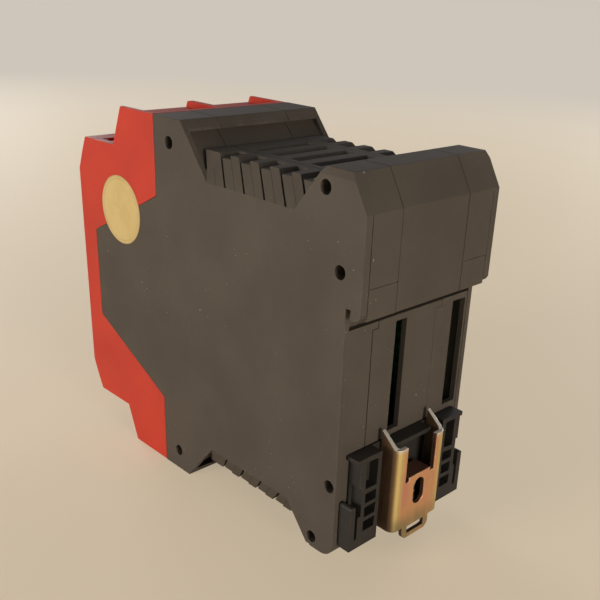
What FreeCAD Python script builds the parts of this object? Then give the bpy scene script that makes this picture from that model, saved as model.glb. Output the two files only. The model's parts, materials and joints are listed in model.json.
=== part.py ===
"""Safety relay module for a 35 mm mounting rail, as a parametric FreeCAD document.

Datum of every sketch: X across the module with 0 on its centre plane, Y towards the rail
with 0 on the rear face of the housing head, Z up with 0 on the lower terminal faces.
Each sub-part is then moved along Y, so that the origin lies under the centre of the module.
"""

import FreeCAD
import Part
import Sketcher

import math
import os
import re

SIZES = (
    # Envelope
    ("width", 45.0, "across the module"),
    ("height", 99.0, "between the upper and lower terminal faces"),
    ("front_depth", 111.5, "front face to head rear face"),
    ("clip_proud", 2.6, "rear face of the rail clip behind the head"),
    # Housing shells
    ("centre_width", 22.5, "width of the middle housing frame"),
    ("wall", 1.6, "wall of the black housing"),
    ("plate", 1.4, "side plate thickness"),
    ("joint_gap", 0.1, "gap between housing pieces that meet"),
    ("overlap", 1.0, "reach of a pad or a cut into or past its neighbour"),
    ("hood_deep", 38.3, "front face to the rear edge of the hood"),
    ("edge_corner", 20.6, "end to the corner where the hood edge turns forward"),
    ("nose_inset", 6.8, "black side plate behind the front face"),
    ("nose_corner", 36.4, "end to the corner of the side plate's nose"),
    ("terminal_wall", 11.2, "terminal end face behind the hood"),
    ("terminal_undercut", 1.6, "step forward under the lip of the terminal wall"),
    ("lip_drop", 1.4, "height of that lip"),
    ("terminal_slope", 10.4, "run of the slope down to the vent notch"),
    ("notch_back", 20.9, "rear end of the vent notch"),
    ("notch_drop", 13.0, "depth of the vent notch below the end"),
    ("head_front", 13.5, "front corner of the head"),
    ("head_edge_drop", 3.8, "head side edge below the end"),
    ("head_drop", 2.2, "head top face below the end"),
    ("head_bevel", 0.8, "inset of the head's side bevel"),
    ("head_chamfer", 4.5, "depth of the rear chamfer of the head"),
    ("head_rear_drop", 10.0, "upper edge of the head's rear face below the end"),
    ("head_bottom", 66.1, "lower edge of the head's rear face"),
    ("plate_plane", 4.2, "rail seat on the side plate edges, in front of the datum"),
    ("wall_plane", 4.4, "rear wall, in front of the datum"),
    ("tail_drop", 3.5, "underside of the rear foot of the housing"),
    ("tail_front", 12.0, "front corner of that underside"),
    ("tail_flat", 8.5, "rear end of that underside"),
    ("tail_corner", 7.5, "height where the rear edge of the plate starts"),
    # Rail groove under the head
    ("groove_bottom", 62.8, "upper edge of the rear wall"),
    ("groove_top", 68.4, "top of the slot that takes the rail flange"),
    ("groove_back", 2.9, "inner face of the head lip"),
    ("groove_front", 6.0, "bottom of the groove"),
    # Rear wall slots
    ("slot_low", 33.0, "lower end of the deep rear slots"),
    ("slot_high", 61.3, "upper end of the deep rear slots"),
    ("centre_slot_left", 1.6, "left edge of the slot in the middle frame"),
    ("centre_slot_right", 5.4, "right edge of the slot in the middle frame"),
    ("side_slot_edge", 2.1, "slot in the side shell, from the side face"),
    ("side_slot_width", 4.8, "width of that slot"),
    # Joint lines of the rear
    ("lip_round", 2.0, "rounding of the side plate under the head"),
    ("line_width", 0.2, "width of the joint lines"),
    ("line_deep", 0.25, "depth of the joint lines"),
    ("line_level", 73.2, "height of the cross line on the head"),
    ("recess_right", 13.1, "right joint of the rear wall, from the centre plane"),
    ("recess_left", 9.0, "left joint of the rear wall, from the centre plane"),
    ("recess_top", 61.0, "where those joints step back to the frame's sides"),
    # Vents
    ("vent_drop", 6.3, "vent top below the end"),
    ("vent_taper", 3.6, "inset of the vent top from the side face"),
    ("vent_bridge", 13.5, "outer edge of the solid bridge beside the frame joint"),
    ("vent_middle", 9.3, "half width of the middle vent slots"),
    ("vent_lean", 0.9, "forward lean of the slots per rise"),
    ("vent_pitch", 7.0, "pitch of the vent slots"),
    ("vent_margin", 0.6, "first slot behind the front end of the notch"),
    ("vent_gap", 0.7, "width of the side slots"),
    ("vent_low_rib", 3.3, "width of the lowered rib behind each side slot"),
    ("vent_rib_step", 0.8, "height step of the lowered rib"),
    ("vent_middle_gap", 3.2, "width of the middle slots"),
    ("deck_root", 3.0, "reach of the vent deck into the head"),
    ("deck_foot", 7.0, "reach of the vent deck into the terminal wall"),
    # Pegs that align the shells
    ("peg_hole", 3.2, "bore of the alignment bosses"),
    ("peg", 2.8, "alignment peg"),
    ("peg_length", 5.0, "reach of the alignment peg"),
    ("boss", 4.1, "outside of the alignment boss"),
    ("peg_terminal_in", 4.8, "pegs beside the terminals, in front of the slope"),
    ("peg_terminal_drop", 6.0, "their distance from the end"),
    ("peg_head_y", 11.7, "pegs in the head and the tail"),
    ("peg_head_drop", 6.4, "their distance from the end"),
    ("peg_rear_y", 6.5, "pegs beside the rail seat"),
    ("peg_rear_low", 23.3, "height of the lower one"),
    ("peg_rear_rise", 7.3, "upper one above the rail groove"),
    # Hood
    ("hood_wall", 1.5, "wall of the hood"),
    ("tier_inset", 23.1, "outer terminal tier behind the front face"),
    ("riser_lean", 4.2, "forward lean of its front side"),
    ("step_drop", 10.5, "step face below the end"),
    ("brow_inset", 4.1, "front edge of the step face behind the front face"),
    ("brow_mid_inset", 1.4, "middle of the curve into the front face"),
    ("brow_mid_drop", 16.1, "its distance from the end"),
    ("face_drop", 19.5, "front face edge, from the end"),
    ("valley_drop", 1.7, "depth of the wire entry valleys"),
    ("valley_margin", 1.8, "rear end of the valleys in front of the hood's edge"),
    ("rib_half", 1.0, "half of the middle rib between the valleys"),
    ("window_width", 14.0, "width of the indicator window"),
    ("window_height", 22.0, "height of the indicator window"),
    # Terminals
    ("pole_pitch", 5.08, "terminal pitch"),
    ("block_edge", 0.5, "inner side of a block, from the centre plane"),
    ("wire_hole", 3.8, "square wire entry"),
    ("driver_hole", 3.9, "screw access hole"),
    ("driver_shaft", 3.8, "square screw shaft in the block"),
    ("block_deep", 12.4, "terminal block front to back"),
    ("block_tall", 9.0, "terminal block height"),
    ("outer_block_in", 0.8, "outer blocks behind the upper edge of their tier"),
    ("outer_block_drop", 3.5, "outer blocks below the end"),
    ("inner_block_in", 5.5, "inner blocks behind the front face"),
    ("inner_block_drop", 12.3, "inner blocks below the end"),
    ("wire_y", 6.2, "wire entry centre behind the block front"),
    ("block_floor", 1.0, "floor under the clamp chamber"),
    ("cage_width", 4.0, "clamp cage across"),
    ("cage_deep", 5.4, "clamp cage front to back"),
    ("cage_tall", 6.4, "clamp cage height"),
    ("cage_wall", 0.7, "clamp cage sheet"),
    ("cage_play", 0.15, "clearance round the clamp cage"),
    ("screw", 2.4, "terminal screw shank"),
    ("screw_play", 0.1, "clearance round the shank in its cage"),
    ("screw_head", 3.5, "terminal screw head"),
    ("screw_head_tall", 1.8, "height of that head"),
    ("screw_sunk", 0.4, "head below the block front"),
    ("screw_length", 5.4, "shank below the head"),
    # Rail foot
    ("foot_top", 31.6, "top of the rail foot"),
    ("foot_low", 7.1, "bottom of the rail foot"),
    ("foot_skin", 1.2, "thickness of the foot's plates"),
    ("foot_side", 1.5, "foot's lugs inside the side faces"),
    ("foot_lug_thick", 1.6, "thickness of the lugs"),
    ("foot_step", 0.9, "step from the top plate to the post, and to its waist"),
    ("foot_waist_top", 24.0, "upper end of the waist"),
    ("foot_waist_low", 16.0, "lower end of the waist"),
    ("foot_lug_top", 19.5, "top of the lugs"),
    ("foot_lug_round", 1.0, "height of their rounded tip"),
    ("foot_base", 9.8, "top of the foot's base"),
    ("foot_inner", 11.4, "inner side of the side blocks"),
    ("foot_bar", 6.6, "half width of the bar between the clip legs"),
    ("foot_window_low", 23.0, "lower edge of the window in the side block"),
    ("foot_rib_pitch", 3.9, "pitch of the ribs below that window"),
    ("foot_rib", 1.2, "thickness of those ribs"),
    ("foot_cells", 3, "cells between them"),
    ("foot_sunk", 0.3, "foot face in front of the datum"),
    # Rail clip
    ("clip_sheet", 1.1, "sheet of the rail clip"),
    ("clip_half", 8.9, "half width over the clip's legs"),
    ("clip_bend", 1.9, "outer bend radius"),
    ("clip_reach", 3.0, "front edge of the legs, in front of the datum"),
    ("clip_low", 8.2, "lower edge of the clip's face"),
    ("clip_top", 31.3, "top of the prongs"),
    ("hook_top", 35.0, "tip of the hooks that hold the rail"),
    ("clip_window", 5.3, "half width of the clip's window"),
    ("tongue_top", 22.5, "upper side of the spring tongue"),
    ("tongue_half", 4.0, "half width of the spring tongue"),
    ("tongue_tip", 2.3, "tip of the tongue, in front of the datum"),
    ("clip_slot", 2.6, "half width of the slot in the clip's face"),
    ("clip_slot_low", 14.1, "lower end of that slot"),
    ("clip_slot_top", 20.6, "upper end of that slot"),
    ("tab_half", 5.0, "half width of the pull tab"),
    ("tab_low", 4.6, "lower edge of the pull tab"),
    ("tab_round", 2.0, "corner radius of the pull tab"),
    ("tab_hole", 3.2, "half width of the hole for a screwdriver"),
    ("tab_hole_low", 5.9, "lower edge of that hole"),
    ("tab_hole_top", 8.0, "upper edge of that hole"),
    ("clip_play", 0.3, "clearance between clip and foot"),
    # Clip spring
    ("spring_wire", 0.6, "spring wire"),
    ("spring_mean", 2.8, "mean diameter of the spring"),
    ("spring_turns", 4.5, "turns of the spring"),
    ("spring_seat", 11.0, "floor that carries the spring"),
    # Boards and what they carry
    ("board", 1.6, "circuit board thickness"),
    ("board_gap", 1.5, "side boards inside the side plates"),
    ("board_inset", 20.5, "front edge of the side boards behind the front face"),
    ("board_back", 9.6, "rear edge of the side boards"),
    ("board_play", 0.3, "clearance of a board to the housing"),
    ("lead_gap", 0.2, "components above their board"),
    ("relay_long", 40.0, "safety relay length"),
    ("relay_wide", 12.6, "safety relay width"),
    ("relay_tall", 16.0, "safety relay height"),
    ("relay_pitch", 13.6, "pitch of the safety relays"),
    ("relay_inset", 15.0, "safety relays behind the front edge of their board"),
    ("relay_drop", 15.9, "top of the highest safety relay below the end"),
    ("relay_bevel", 0.6, "edge bevel of a relay cover"),
    ("core_high", 26.0, "transformer core height"),
    ("core_long", 31.0, "transformer core length"),
    ("core_stack", 13.0, "transformer core stack"),
    ("core_inset", 31.0, "transformer core behind the front edge of its board"),
    ("core_low", 16.5, "underside of the transformer core"),
    ("core_leg", 5.2, "outer leg of the core"),
    ("coil_stack", 18.5, "coil and bobbin, away from the board"),
    ("coil_play", 0.2, "clearance between the coil and the core"),
    ("capacitor", 12.5, "smoothing capacitor diameter"),
    ("capacitor_tall", 25.0, "smoothing capacitor length"),
    ("capacitor_inset", 17.0, "its axis behind the front edge of its board"),
    ("capacitor_z", 26.0, "its height"),
    ("fuse", 8.4, "fuse diameter"),
    ("fuse_tall", 7.7, "fuse height"),
    ("fuse_inset", 11.0, "its axis behind the front edge of its board"),
    ("fuse_z", 52.0, "its height"),
    ("varistor", 11.0, "varistor diameter"),
    ("varistor_thick", 4.2, "varistor thickness"),
    ("varistor_inset", 11.0, "its centre behind the front edge of its board"),
    ("varistor_z", 66.0, "its height"),
    ("front_board_play", 2.2, "indicator board inside the terminal blocks"),
    ("lens_gap", 0.4, "indicators behind the window"),
    ("led", 3.0, "indicator diameter"),
    ("led_tall", 2.0, "indicator height"),
    ("led_pitch", 5.0, "indicator pitch"),
    ("led_count", 4, "indicators"),
    # Seal label
    ("label", 18.8, "seal label diameter"),
    ("label_thick", 0.12, "seal label thickness"),
    ("label_in", 17.5, "its centre in front of the hood's rear edge"),
    ("label_drop", 27.8, "its centre below the end"),
)

# Places that follow from the sizes, measured from the datum.
PLACES = (
    ("hood_edge", "front_depth - hood_deep", "rear edge of the hood"),
    ("nose", "front_depth - nose_inset", "front edge of the black side plate"),
    ("terminal_back", "hood_edge - terminal_wall", "rear edge of the terminal end face"),
    ("notch_front", "terminal_back - terminal_slope", "front end of the vent notch"),
    ("vent_first", "notch_front - vent_margin", "front of the first slot at the vent top"),
    ("vent_edge", "width / 2 - vent_taper", "half width of the vent top"),
    ("vent_side_count", "floor((vent_first - notch_back) / vent_pitch) + 1", "slots on each side"),
    ("vent_middle_count", "floor((vent_first - notch_back - vent_middle_gap) / vent_pitch) + 1",
     "slots in the middle"),
    ("side_slot_outer", "width / 2 - side_slot_edge", "outer edge of the side shell's slot"),
    ("side_slot_inner", "side_slot_outer - side_slot_width", "inner edge of that slot"),
    ("peg_terminal_y", "terminal_back + peg_terminal_in", "pegs beside the terminals"),
    ("riser_y", "front_depth - tier_inset", "upper front edge of the outer terminal tier"),
    ("step_y", "riser_y + riser_lean", "foot of the riser"),
    ("brow_y", "front_depth - brow_inset", "front edge of the step face"),
    ("brow_mid_y", "front_depth - brow_mid_inset", "middle of the curve into the front face"),
    ("valley_back", "hood_edge + valley_margin", "rear end of the valleys"),
    ("pole_count", "floor((width / 2 - hood_wall - block_edge) / pole_pitch)", "poles in a block"),
    ("outer_block_y", "riser_y - outer_block_in", "front of the outer blocks"),
    ("inner_block_y", "front_depth - inner_block_in", "front of the inner blocks"),
    ("foot_lug", "width / 2 - foot_side", "outer side of the foot's lugs"),
    ("foot_half", "foot_lug - foot_lug_thick", "half width of the foot's top plate"),
    ("foot_post", "foot_half - foot_step", "outer side of the upper post"),
    ("foot_waist", "foot_post - foot_step", "outer side of the post's waist"),
    ("board_x", "width / 2 - plate - board_gap - board", "inner face of the side boards"),
    ("board_front", "front_depth - board_inset", "front edge of the side boards"),
    ("relay_front", "board_front - relay_inset", "front end of the safety relays"),
    ("core_front", "board_front - core_inset", "front end of the transformer core"),
    ("capacitor_y", "board_front - capacitor_inset", "axis of the capacitor"),
    ("fuse_y", "board_front - fuse_inset", "axis of the fuse"),
    ("varistor_y", "board_front - varistor_inset", "centre of the varistor"),
    ("front_board_y", "front_depth - hood_wall - lens_gap - led_tall", "indicator board"),
    ("front_board_low", "inner_block_drop + block_tall + front_board_play", "its lower edge"),
    ("label_y", "hood_edge + label_in", "centre of the seal label"),
    ("label_z", "height - label_drop", "its height"),
)

DOCUMENT = FreeCAD.newDocument("SafetyRelay")
SHEET = DOCUMENT.addObject("Spreadsheet::Sheet", "Sizes")
SUBPARTS = []
ENDS = ("upper", "lower")
SIDES = (("right", 1), ("left", -1))
TIERS = ("outer", "inner")
RELAYS = 3
# Inset of the middle of a rounded corner, as a share of its radius.
DIAGONAL = "(1 - sqrt(0.5))"


def fill_sheet():
    """Write each size and each place into the sheet, with its name and note beside it."""
    cells = [(name, str(size), note) for name, size, note in SIZES]
    cells += [(name, f"={text}", note) for name, text, note in PLACES]
    for row, (name, entry, note) in enumerate(cells, start=1):
        SHEET.set(f"A{row}", name)
        SHEET.set(f"B{row}", entry)
        SHEET.setAlias(f"B{row}", name)
        SHEET.set(f"C{row}", note)
    DOCUMENT.recompute()


def bound(text):
    """Return an expression in which every size name points to its cell."""
    return re.sub(r"\b([a-z][a-z0-9_]*)\b(?!\()", r"Sizes.\1", str(text))


def value(text):
    """Return the present value of an expression of size names."""
    return float(SHEET.evalExpression(bound(text)))


def drop(end, text):
    """Return the height that lies a given distance inside the upper or lower end."""
    return f"height - ({text})" if end == "upper" else f"({text})"


def new_body(name):
    """Start a sub-part, placed so that the origin is under the centre of the module."""
    body = DOCUMENT.addObject("PartDesign::Body", name)
    body.Label = name
    body.setExpression("Placement.Base.y", bound("(front_depth - clip_proud) / 2"))
    SUBPARTS.append(body)
    return body


def origin_plane(body, role):
    """Return one of the body's own origin planes."""
    return next(item for item in body.Origin.OriginFeatures if item.Role == role)


def sketch(body, name, plane, offset):
    """Attach an empty sketch to a plane of the body, an offset along its normal."""
    drawing = body.newObject("Sketcher::SketchObject", f"{body.Name}_{name}_sketch")
    drawing.AttachmentSupport = [(origin_plane(body, f"{plane}_Plane"), "")]
    drawing.MapMode = "FlatFace"
    drawing.setExpression("AttachmentOffset.Base.z", bound(offset))
    return drawing


def pin_point(drawing, shape, vertex, x, y):
    """Hold a point of a sketch at two expressions from the sketch origin."""
    for kind, text in (("DistanceX", x), ("DistanceY", y)):
        index = drawing.addConstraint(Sketcher.Constraint(kind, -1, 1, shape, vertex, value(text)))
        drawing.setExpression(f"Constraints[{index}]", bound(text))


def add_loop(drawing, route):
    """Draw a closed loop through a route of (x, y) corners.

    An entry (x, y, "via") bends the edge between its neighbours into an arc through it.
    """
    corners = [step for step in route if len(step) == 2]
    points = [FreeCAD.Vector(value(x), value(y), 0) for x, y in corners]
    ends = []
    for index, (x, y) in enumerate(corners):
        start, finish = points[index], points[(index + 1) % len(points)]
        after = route[(route.index(corners[index]) + 1) % len(route)]
        if len(after) == 2:
            shape = drawing.addGeometry(Part.LineSegment(start, finish), False)
            ends.append((shape, 1, 2))
            continue
        middle = FreeCAD.Vector(value(after[0]), value(after[1]), 0)
        anticlockwise = (middle - start).cross(finish - middle).z > 0
        arc = Part.Arc(start, middle, finish) if anticlockwise else Part.Arc(finish, middle, start)
        shape = drawing.addGeometry(arc, False)
        ends.append((shape, 1, 2) if anticlockwise else (shape, 2, 1))
        through = drawing.addGeometry(Part.Point(middle), True)
        drawing.addConstraint(Sketcher.Constraint("PointOnObject", through, 1, shape))
        pin_point(drawing, through, 1, after[0], after[1])
    for index, (shape, _, last) in enumerate(ends):
        following, first, _ = ends[(index + 1) % len(ends)]
        drawing.addConstraint(Sketcher.Constraint("Coincident", shape, last, following, first))
    for (shape, first, _), (x, y) in zip(ends, corners):
        pin_point(drawing, shape, first, x, y)


def outline(body, name, plane, offset, *routes):
    """Draw one sketch of closed loops; a loop inside another is a hole in it."""
    drawing = sketch(body, name, plane, offset)
    for route in routes:
        add_loop(drawing, route)
    return drawing


def rounds(body, name, plane, offset, diameter, centres):
    """Draw a circle of one diameter round each centre."""
    drawing = sketch(body, name, plane, offset)
    for x, y in centres:
        centre = FreeCAD.Vector(value(x), value(y), 0)
        radius = value(diameter) / 2
        circle = drawing.addGeometry(Part.Circle(centre, FreeCAD.Vector(0, 0, 1), radius), False)
        index = drawing.addConstraint(Sketcher.Constraint("Diameter", circle, 2 * radius))
        drawing.setExpression(f"Constraints[{index}]", bound(diameter))
        pin_point(drawing, circle, 3, x, y)
    return drawing


def box_route(left, right, low, high):
    """Return the route of an upright rectangle."""
    return [(left, low), (right, low), (right, high), (left, high)]


def mirrored(route, side):
    """Return a route with its first coordinate turned to one side."""
    return [(f"{side} * ({step[0]})", *step[1:]) for step in route]


def polygon_route(across, x, y, sides):
    """Return the route of an upright regular polygon round a centre, across its flats."""
    reach = 0.5 / math.cos(math.pi / sides)
    corners = []
    for index in range(sides):
        angle = math.pi * (2 * index + 1) / sides
        right, up = reach * math.cos(angle), reach * math.sin(angle)
        corners.append((f"({x}) + {right:.6f} * ({across})", f"({y}) + {up:.6f} * ({across})"))
    return corners


def extrude(body, kind, name, profile, length, side):
    """Add a Pad or a Pocket that runs from its sketch, with its normal or against it."""
    feature = body.newObject(f"PartDesign::{kind}", f"{body.Name}_{name}")
    feature.Profile = profile
    feature.setExpression("Length", bound(length))
    feature.Reversed = (side < 0) if kind == "Pad" else (side > 0)
    body.Tip = feature
    return feature


def pad(body, name, profile, length, side=1):
    """Add material from a sketch."""
    return extrude(body, "Pad", name, profile, length, side)


def pocket(body, name, profile, length, side=1):
    """Cut material from a sketch, and make sure that the cut meets the solid."""
    DOCUMENT.recompute()
    before = body.Shape.Volume
    feature = extrude(body, "Pocket", name, profile, length, side)
    DOCUMENT.recompute()
    if not body.Shape.Volume < before:
        raise RuntimeError(f"{feature.Name} cuts nothing")
    return feature


def middle_plane(body):
    """Return a datum plane half way up the module."""
    plane = body.newObject("PartDesign::Plane", f"{body.Name}_mid_height")
    plane.AttachmentSupport = [(origin_plane(body, "XY_Plane"), "")]
    plane.MapMode = "FlatFace"
    plane.setExpression("AttachmentOffset.Base.z", bound("height / 2"))
    return plane


def row_of(body, name, axis, pitch, count):
    """Make a linear pattern step along one of the body's axes."""
    row = body.newObject("PartDesign::LinearPattern", f"{body.Name}_{name}_row")
    row.Direction = (origin_plane(body, f"{axis}_Axis"), [""])
    row.Mode = "Extent"
    row.setExpression("Length", bound(f"({pitch}) * ({count} - 1)"))
    row.setExpression("Occurrences", bound(count))
    return row


def mirror_in(body, name, plane):
    """Make a mirror step in a plane."""
    mirror = body.newObject("PartDesign::Mirrored", f"{body.Name}_{name}_mirror")
    mirror.MirrorPlane = (plane, [""])
    return mirror


def repeat(body, name, features, steps):
    """Repeat features by a chain of pattern and mirror steps."""
    many = body.newObject("PartDesign::MultiTransform", f"{body.Name}_{name}")
    many.Originals = features
    many.Transformations = steps
    body.Tip = many
    return many


# Housing ---------------------------------------------------------------------------------


def back_edges():
    """Return the outline of the black housing behind the terminals, from top to bottom."""
    head_run = "(notch_back - head_front) / (notch_drop - head_edge_drop)"
    return [
        ("-hood_edge", "height"),
        ("-terminal_back", "height"),
        ("-notch_front", "height - notch_drop"),
        ("-notch_back", "height - notch_drop"),
        (f"-head_front + {head_run} * (head_edge_drop - head_drop)", "height - head_drop"),
        ("-head_chamfer", "height - head_drop"),
        ("0", "height - head_rear_drop"),
        ("0", "head_bottom"),
        ("-plate_plane", "head_bottom"),
        ("-plate_plane", "tail_corner"),
        ("-(0.3 * tail_flat + 0.7 * plate_plane)", "0.3 * tail_corner + 0.7 * tail_drop", "via"),
        ("-tail_flat", "tail_drop"),
        ("-tail_front", "tail_drop"),
        ("-notch_back", "notch_drop"),
        ("-notch_front", "notch_drop"),
        ("-terminal_back", "0"),
        ("-hood_edge", "0"),
    ]


def cavity_edges():
    """Return the outline of the space inside the walls, open towards the hood."""
    slope = "(terminal_back - notch_front) / notch_drop"
    inner = "notch_front + terminal_undercut + wall"
    roof = "notch_drop + wall"
    return [
        ("-(nose + wall)", "height - wall - lip_drop"),
        (f"-({inner} + {slope} * (notch_drop - lip_drop - wall))", "height - wall - lip_drop"),
        (f"-({inner} - {slope} * wall)", f"height - ({roof})"),
        ("-(notch_back - wall / 2)", f"height - ({roof})"),
        ("-(head_front - wall)", "height - head_edge_drop - wall / 2"),
        ("-(head_chamfer + wall / 2)", "height - head_drop - wall"),
        ("-wall", "height - head_rear_drop - wall / 2"),
        ("-wall", "groove_top + wall"),
        ("-(groove_front + wall)", "groove_top + wall"),
        ("-(groove_front + wall)", "groove_bottom - wall"),
        ("-(wall_plane + wall)", "groove_bottom - wall"),
        ("-(wall_plane + wall)", "tail_corner"),
        ("-tail_flat", "tail_drop + wall"),
        ("-(tail_front + wall / 2)", "tail_drop + wall"),
        ("-(notch_back - wall / 2)", roof),
        (f"-({inner} - {slope} * wall)", roof),
        (f"-({inner} + {slope} * (notch_drop - lip_drop - wall))", "wall + lip_drop"),
        ("-(nose + wall)", "wall + lip_drop"),
    ]


def peg_places():
    """Return the (y, z) places of the alignment pegs, the same on every joint."""
    pairs = (("peg_terminal_y", "peg_terminal_drop"), ("peg_head_y", "peg_head_drop"))
    places = [(f"-{y}", drop(end, inset)) for y, inset in pairs for end in ENDS]
    return places + [("-peg_rear_y", rear_peg_level(end)) for end in ENDS]


def rear_peg_level(end):
    """Return the height of the peg above the rail groove, or of the one in the tail."""
    return "groove_top + peg_rear_rise" if end == "upper" else "peg_rear_low"


def peg_ears():
    """Return the ears that carry the pegs, each from its peg out to the nearest wall."""
    half = "boss / 2"
    ears = []
    for end in ENDS:
        crown = "head_drop" if end == "upper" else "tail_drop"
        for y, inset, edge in (
            ("peg_terminal_y", "peg_terminal_drop", "lip_drop"),
            ("peg_head_y", "peg_head_drop", crown),
        ):
            ears.append(box_route(f"-({y} + {half})", f"-({y} - {half})",
                                  drop(end, f"{inset} + {half}"), drop(end, f"{edge} + wall / 2")))
        back = "wall / 2" if end == "upper" else "wall_plane + wall / 2"
        level = rear_peg_level(end)
        ears.append(box_route(f"-(peg_rear_y + {half})", f"-({back})",
                              f"{level} - {half}", f"{level} + {half}"))
    return ears


def slot_route(end, start, run, top, step, bottom):
    """Return a leaning vent slot; behind its gap the rib top may be cut down a step."""
    lift = "vent_drop - overlap"

    def corner(along, inset):
        return (f"-({start}) + ({along}) + vent_lean * (({inset}) - vent_drop)", drop(end, inset))

    route = [corner("0", lift), corner(f"{run} + {step}", lift)]
    if step != "0":
        route += [corner(f"{run} + {step}", top), corner(run, top)]
    return route + [corner(run, bottom), corner("0", bottom)]


def rail_groove(body, name, start, length, side):
    """Cut the groove that the upper flange of the rail swings into."""
    groove = outline(
        body, name, "YZ", start,
        box_route("-groove_front", "-groove_back", "groove_bottom", "groove_top"),
    )
    return pocket(body, name, groove, length, side)


def side_shell(name, side):
    """Build one black side shell: plate, walls, leaning vent ribs, rail groove and bosses."""
    body = new_body(name)
    seam = f"{side} * (centre_width / 2 + joint_gap / 2)"
    deep = "(width - centre_width - joint_gap) / 2"
    inner = f"{deep} - plate"
    edges = back_edges() + [
        ("-hood_edge", "edge_corner"),
        ("-nose", "nose_corner"),
        ("-nose", "height - nose_corner"),
        ("-hood_edge", "height - edge_corner"),
    ]
    pad(body, "shell", outline(body, "shell", "YZ", seam, edges), deep, side)

    # Vent decks: flat tops that fill the notches, with sides that lean inward.
    for end in ENDS:
        deck = outline(body, f"{end}_deck", "XZ", "notch_back - deck_root", [
            (seam, drop(end, "notch_drop + overlap")),
            (f"{side} * width / 2", drop(end, "notch_drop + overlap")),
            (f"{side} * width / 2", drop(end, "notch_drop")),
            (f"{side} * vent_edge", drop(end, "vent_drop")),
            (seam, drop(end, "vent_drop")),
        ])
        pad(body, f"{end}_deck", deck, "notch_front - notch_back + deck_root + deck_foot")
    mirror = middle_plane(body)
    cuts = []
    for label, start, length, floor in (
        ("vent", "vent_bridge", "width / 2 - plate - vent_bridge", "notch_drop + 2 * wall"),
        ("rim", "width / 2 - plate", "2 * plate", "notch_drop"),
    ):
        route = slot_route("upper", "vent_first", "vent_gap", "vent_drop + vent_rib_step",
                           "vent_low_rib", floor)
        drawing = outline(body, label, "YZ", f"{side} * ({start})", route)
        cuts.append(pocket(body, label, drawing, length, side))
    repeat(body, "vents", cuts, [
        row_of(body, "vents", "Y", "vent_pitch", "vent_side_count"),
        mirror_in(body, "vents", mirror),
    ])
    # The rear slots end at the sloping wall of the head and the tail.
    for end in ENDS:
        root = outline(body, f"{end}_root", "YZ", seam, [
            ("-notch_back", drop(end, "notch_drop + wall")),
            ("-notch_back", drop(end, "notch_drop")),
            ("-head_front", drop(end, "head_edge_drop")),
            ("-(head_front - wall)", drop(end, "head_edge_drop")),
            ("-(head_front - wall)", drop(end, "notch_drop + wall")),
        ])
        pad(body, f"{end}_root", root, deep, side)

    pocket(body, "cavity", outline(body, "cavity", "YZ", seam, cavity_edges()), inner, side)
    hollow_rear(body, seam, inner, side)
    for end in ENDS:
        undercut = outline(body, f"{end}_undercut", "YZ", seam, undercut_route(end))
        pocket(body, f"{end}_undercut", undercut, inner, side)
    rail_groove(body, "groove", seam, inner, side)
    flange = outline(
        body, "flange_slot", "YZ", f"{side} * (width / 2 - 2 * plate)",
        box_route("-(plate_plane + joint_gap)", "-groove_back", "head_bottom - overlap", "groove_top"),
    )
    pocket(body, "flange_slot", flange, "3 * plate", side)
    bevel = outline(body, "bevel", "XZ", "head_chamfer - overlap", [
        (f"{side} * (width / 2 + overlap)", "height - head_edge_drop"),
        (f"{side} * width / 2", "height - head_edge_drop"),
        (f"{side} * (width / 2 - head_bevel)", "height - head_drop"),
        (f"{side} * (width / 2 - head_bevel)", "height - head_drop + overlap"),
        (f"{side} * (width / 2 + overlap)", "height - head_drop + overlap"),
    ])
    pocket(body, "bevel", bevel, "head_front - head_chamfer + overlap")

    # Bosses that receive the alignment pegs, open to the outside.
    bosses = outline(body, "bosses", "YZ", seam, *[
        polygon_route("boss", y, z, 8) for y, z in peg_places()])
    pad(body, "bosses", bosses, inner, side)
    bores = rounds(body, "bores", "YZ", seam, "peg_hole", peg_places())
    pocket(body, "bores", bores, deep, side)
    if side < 0:
        slot = outline(body, "rear_slot", "XZ", "wall_plane - overlap", box_route(
            "-side_slot_outer", "-side_slot_inner", "slot_low", "slot_high"))
        pocket(body, "rear_slot", slot, "wall + 2 * overlap")
    label_recess(body, side)
    rear_joint(body, side, deep)
    return body


def rear_joint(body, side, deep):
    """Round the plate under the head, cut the joint lines and step the joint of the wall."""
    lip = outline(body, "lip", "YZ", f"{side} * side_slot_outer", [
        ("overlap", "head_bottom - overlap"),
        ("overlap", "head_bottom + lip_round"),
        ("0", "head_bottom + lip_round"),
        (f"-{DIAGONAL} * lip_round", f"head_bottom + {DIAGONAL} * lip_round", "via"),
        ("-lip_round", "head_bottom"),
        ("-lip_round", "head_bottom - overlap"),
    ])
    pocket(body, "lip", lip, deep, side)
    near, far = "side_slot_outer - line_width / 2", "side_slot_outer + line_width / 2"
    low, high = "line_level - line_width / 2", "line_level + line_width / 2"
    lines = outline(body, "lines", "XZ", "-overlap", mirrored([
        (far, "head_bottom - overlap"),
        (far, "height - head_rear_drop"),
        (near, "height - head_rear_drop"),
        (near, high),
        ("centre_width / 2", high),
        ("centre_width / 2", low),
        (near, low),
        (near, "head_bottom - overlap"),
    ], side))
    pocket(body, "lines", lines, "overlap + line_deep")
    if side > 0:
        strip = wall_strip("centre_width / 2", "recess_right + joint_gap", "joint_gap")
        cut = outline(body, "strip", "XZ", "wall_plane - overlap", strip)
        pocket(body, "strip", cut, "overlap + wall + joint_gap")
    else:
        strip = wall_strip("-(centre_width / 2 + joint_gap)", "-(recess_left + joint_gap)", "0")
        pad(body, "strip", outline(body, "strip", "XZ", "wall_plane", strip), "wall")


def wall_strip(left, right, play):
    """Return the part of the rear wall that belongs to the neighbour of its side."""
    return box_route(left, right, f"foot_top - overlap - {play}", f"recess_top + {play}")


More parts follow.
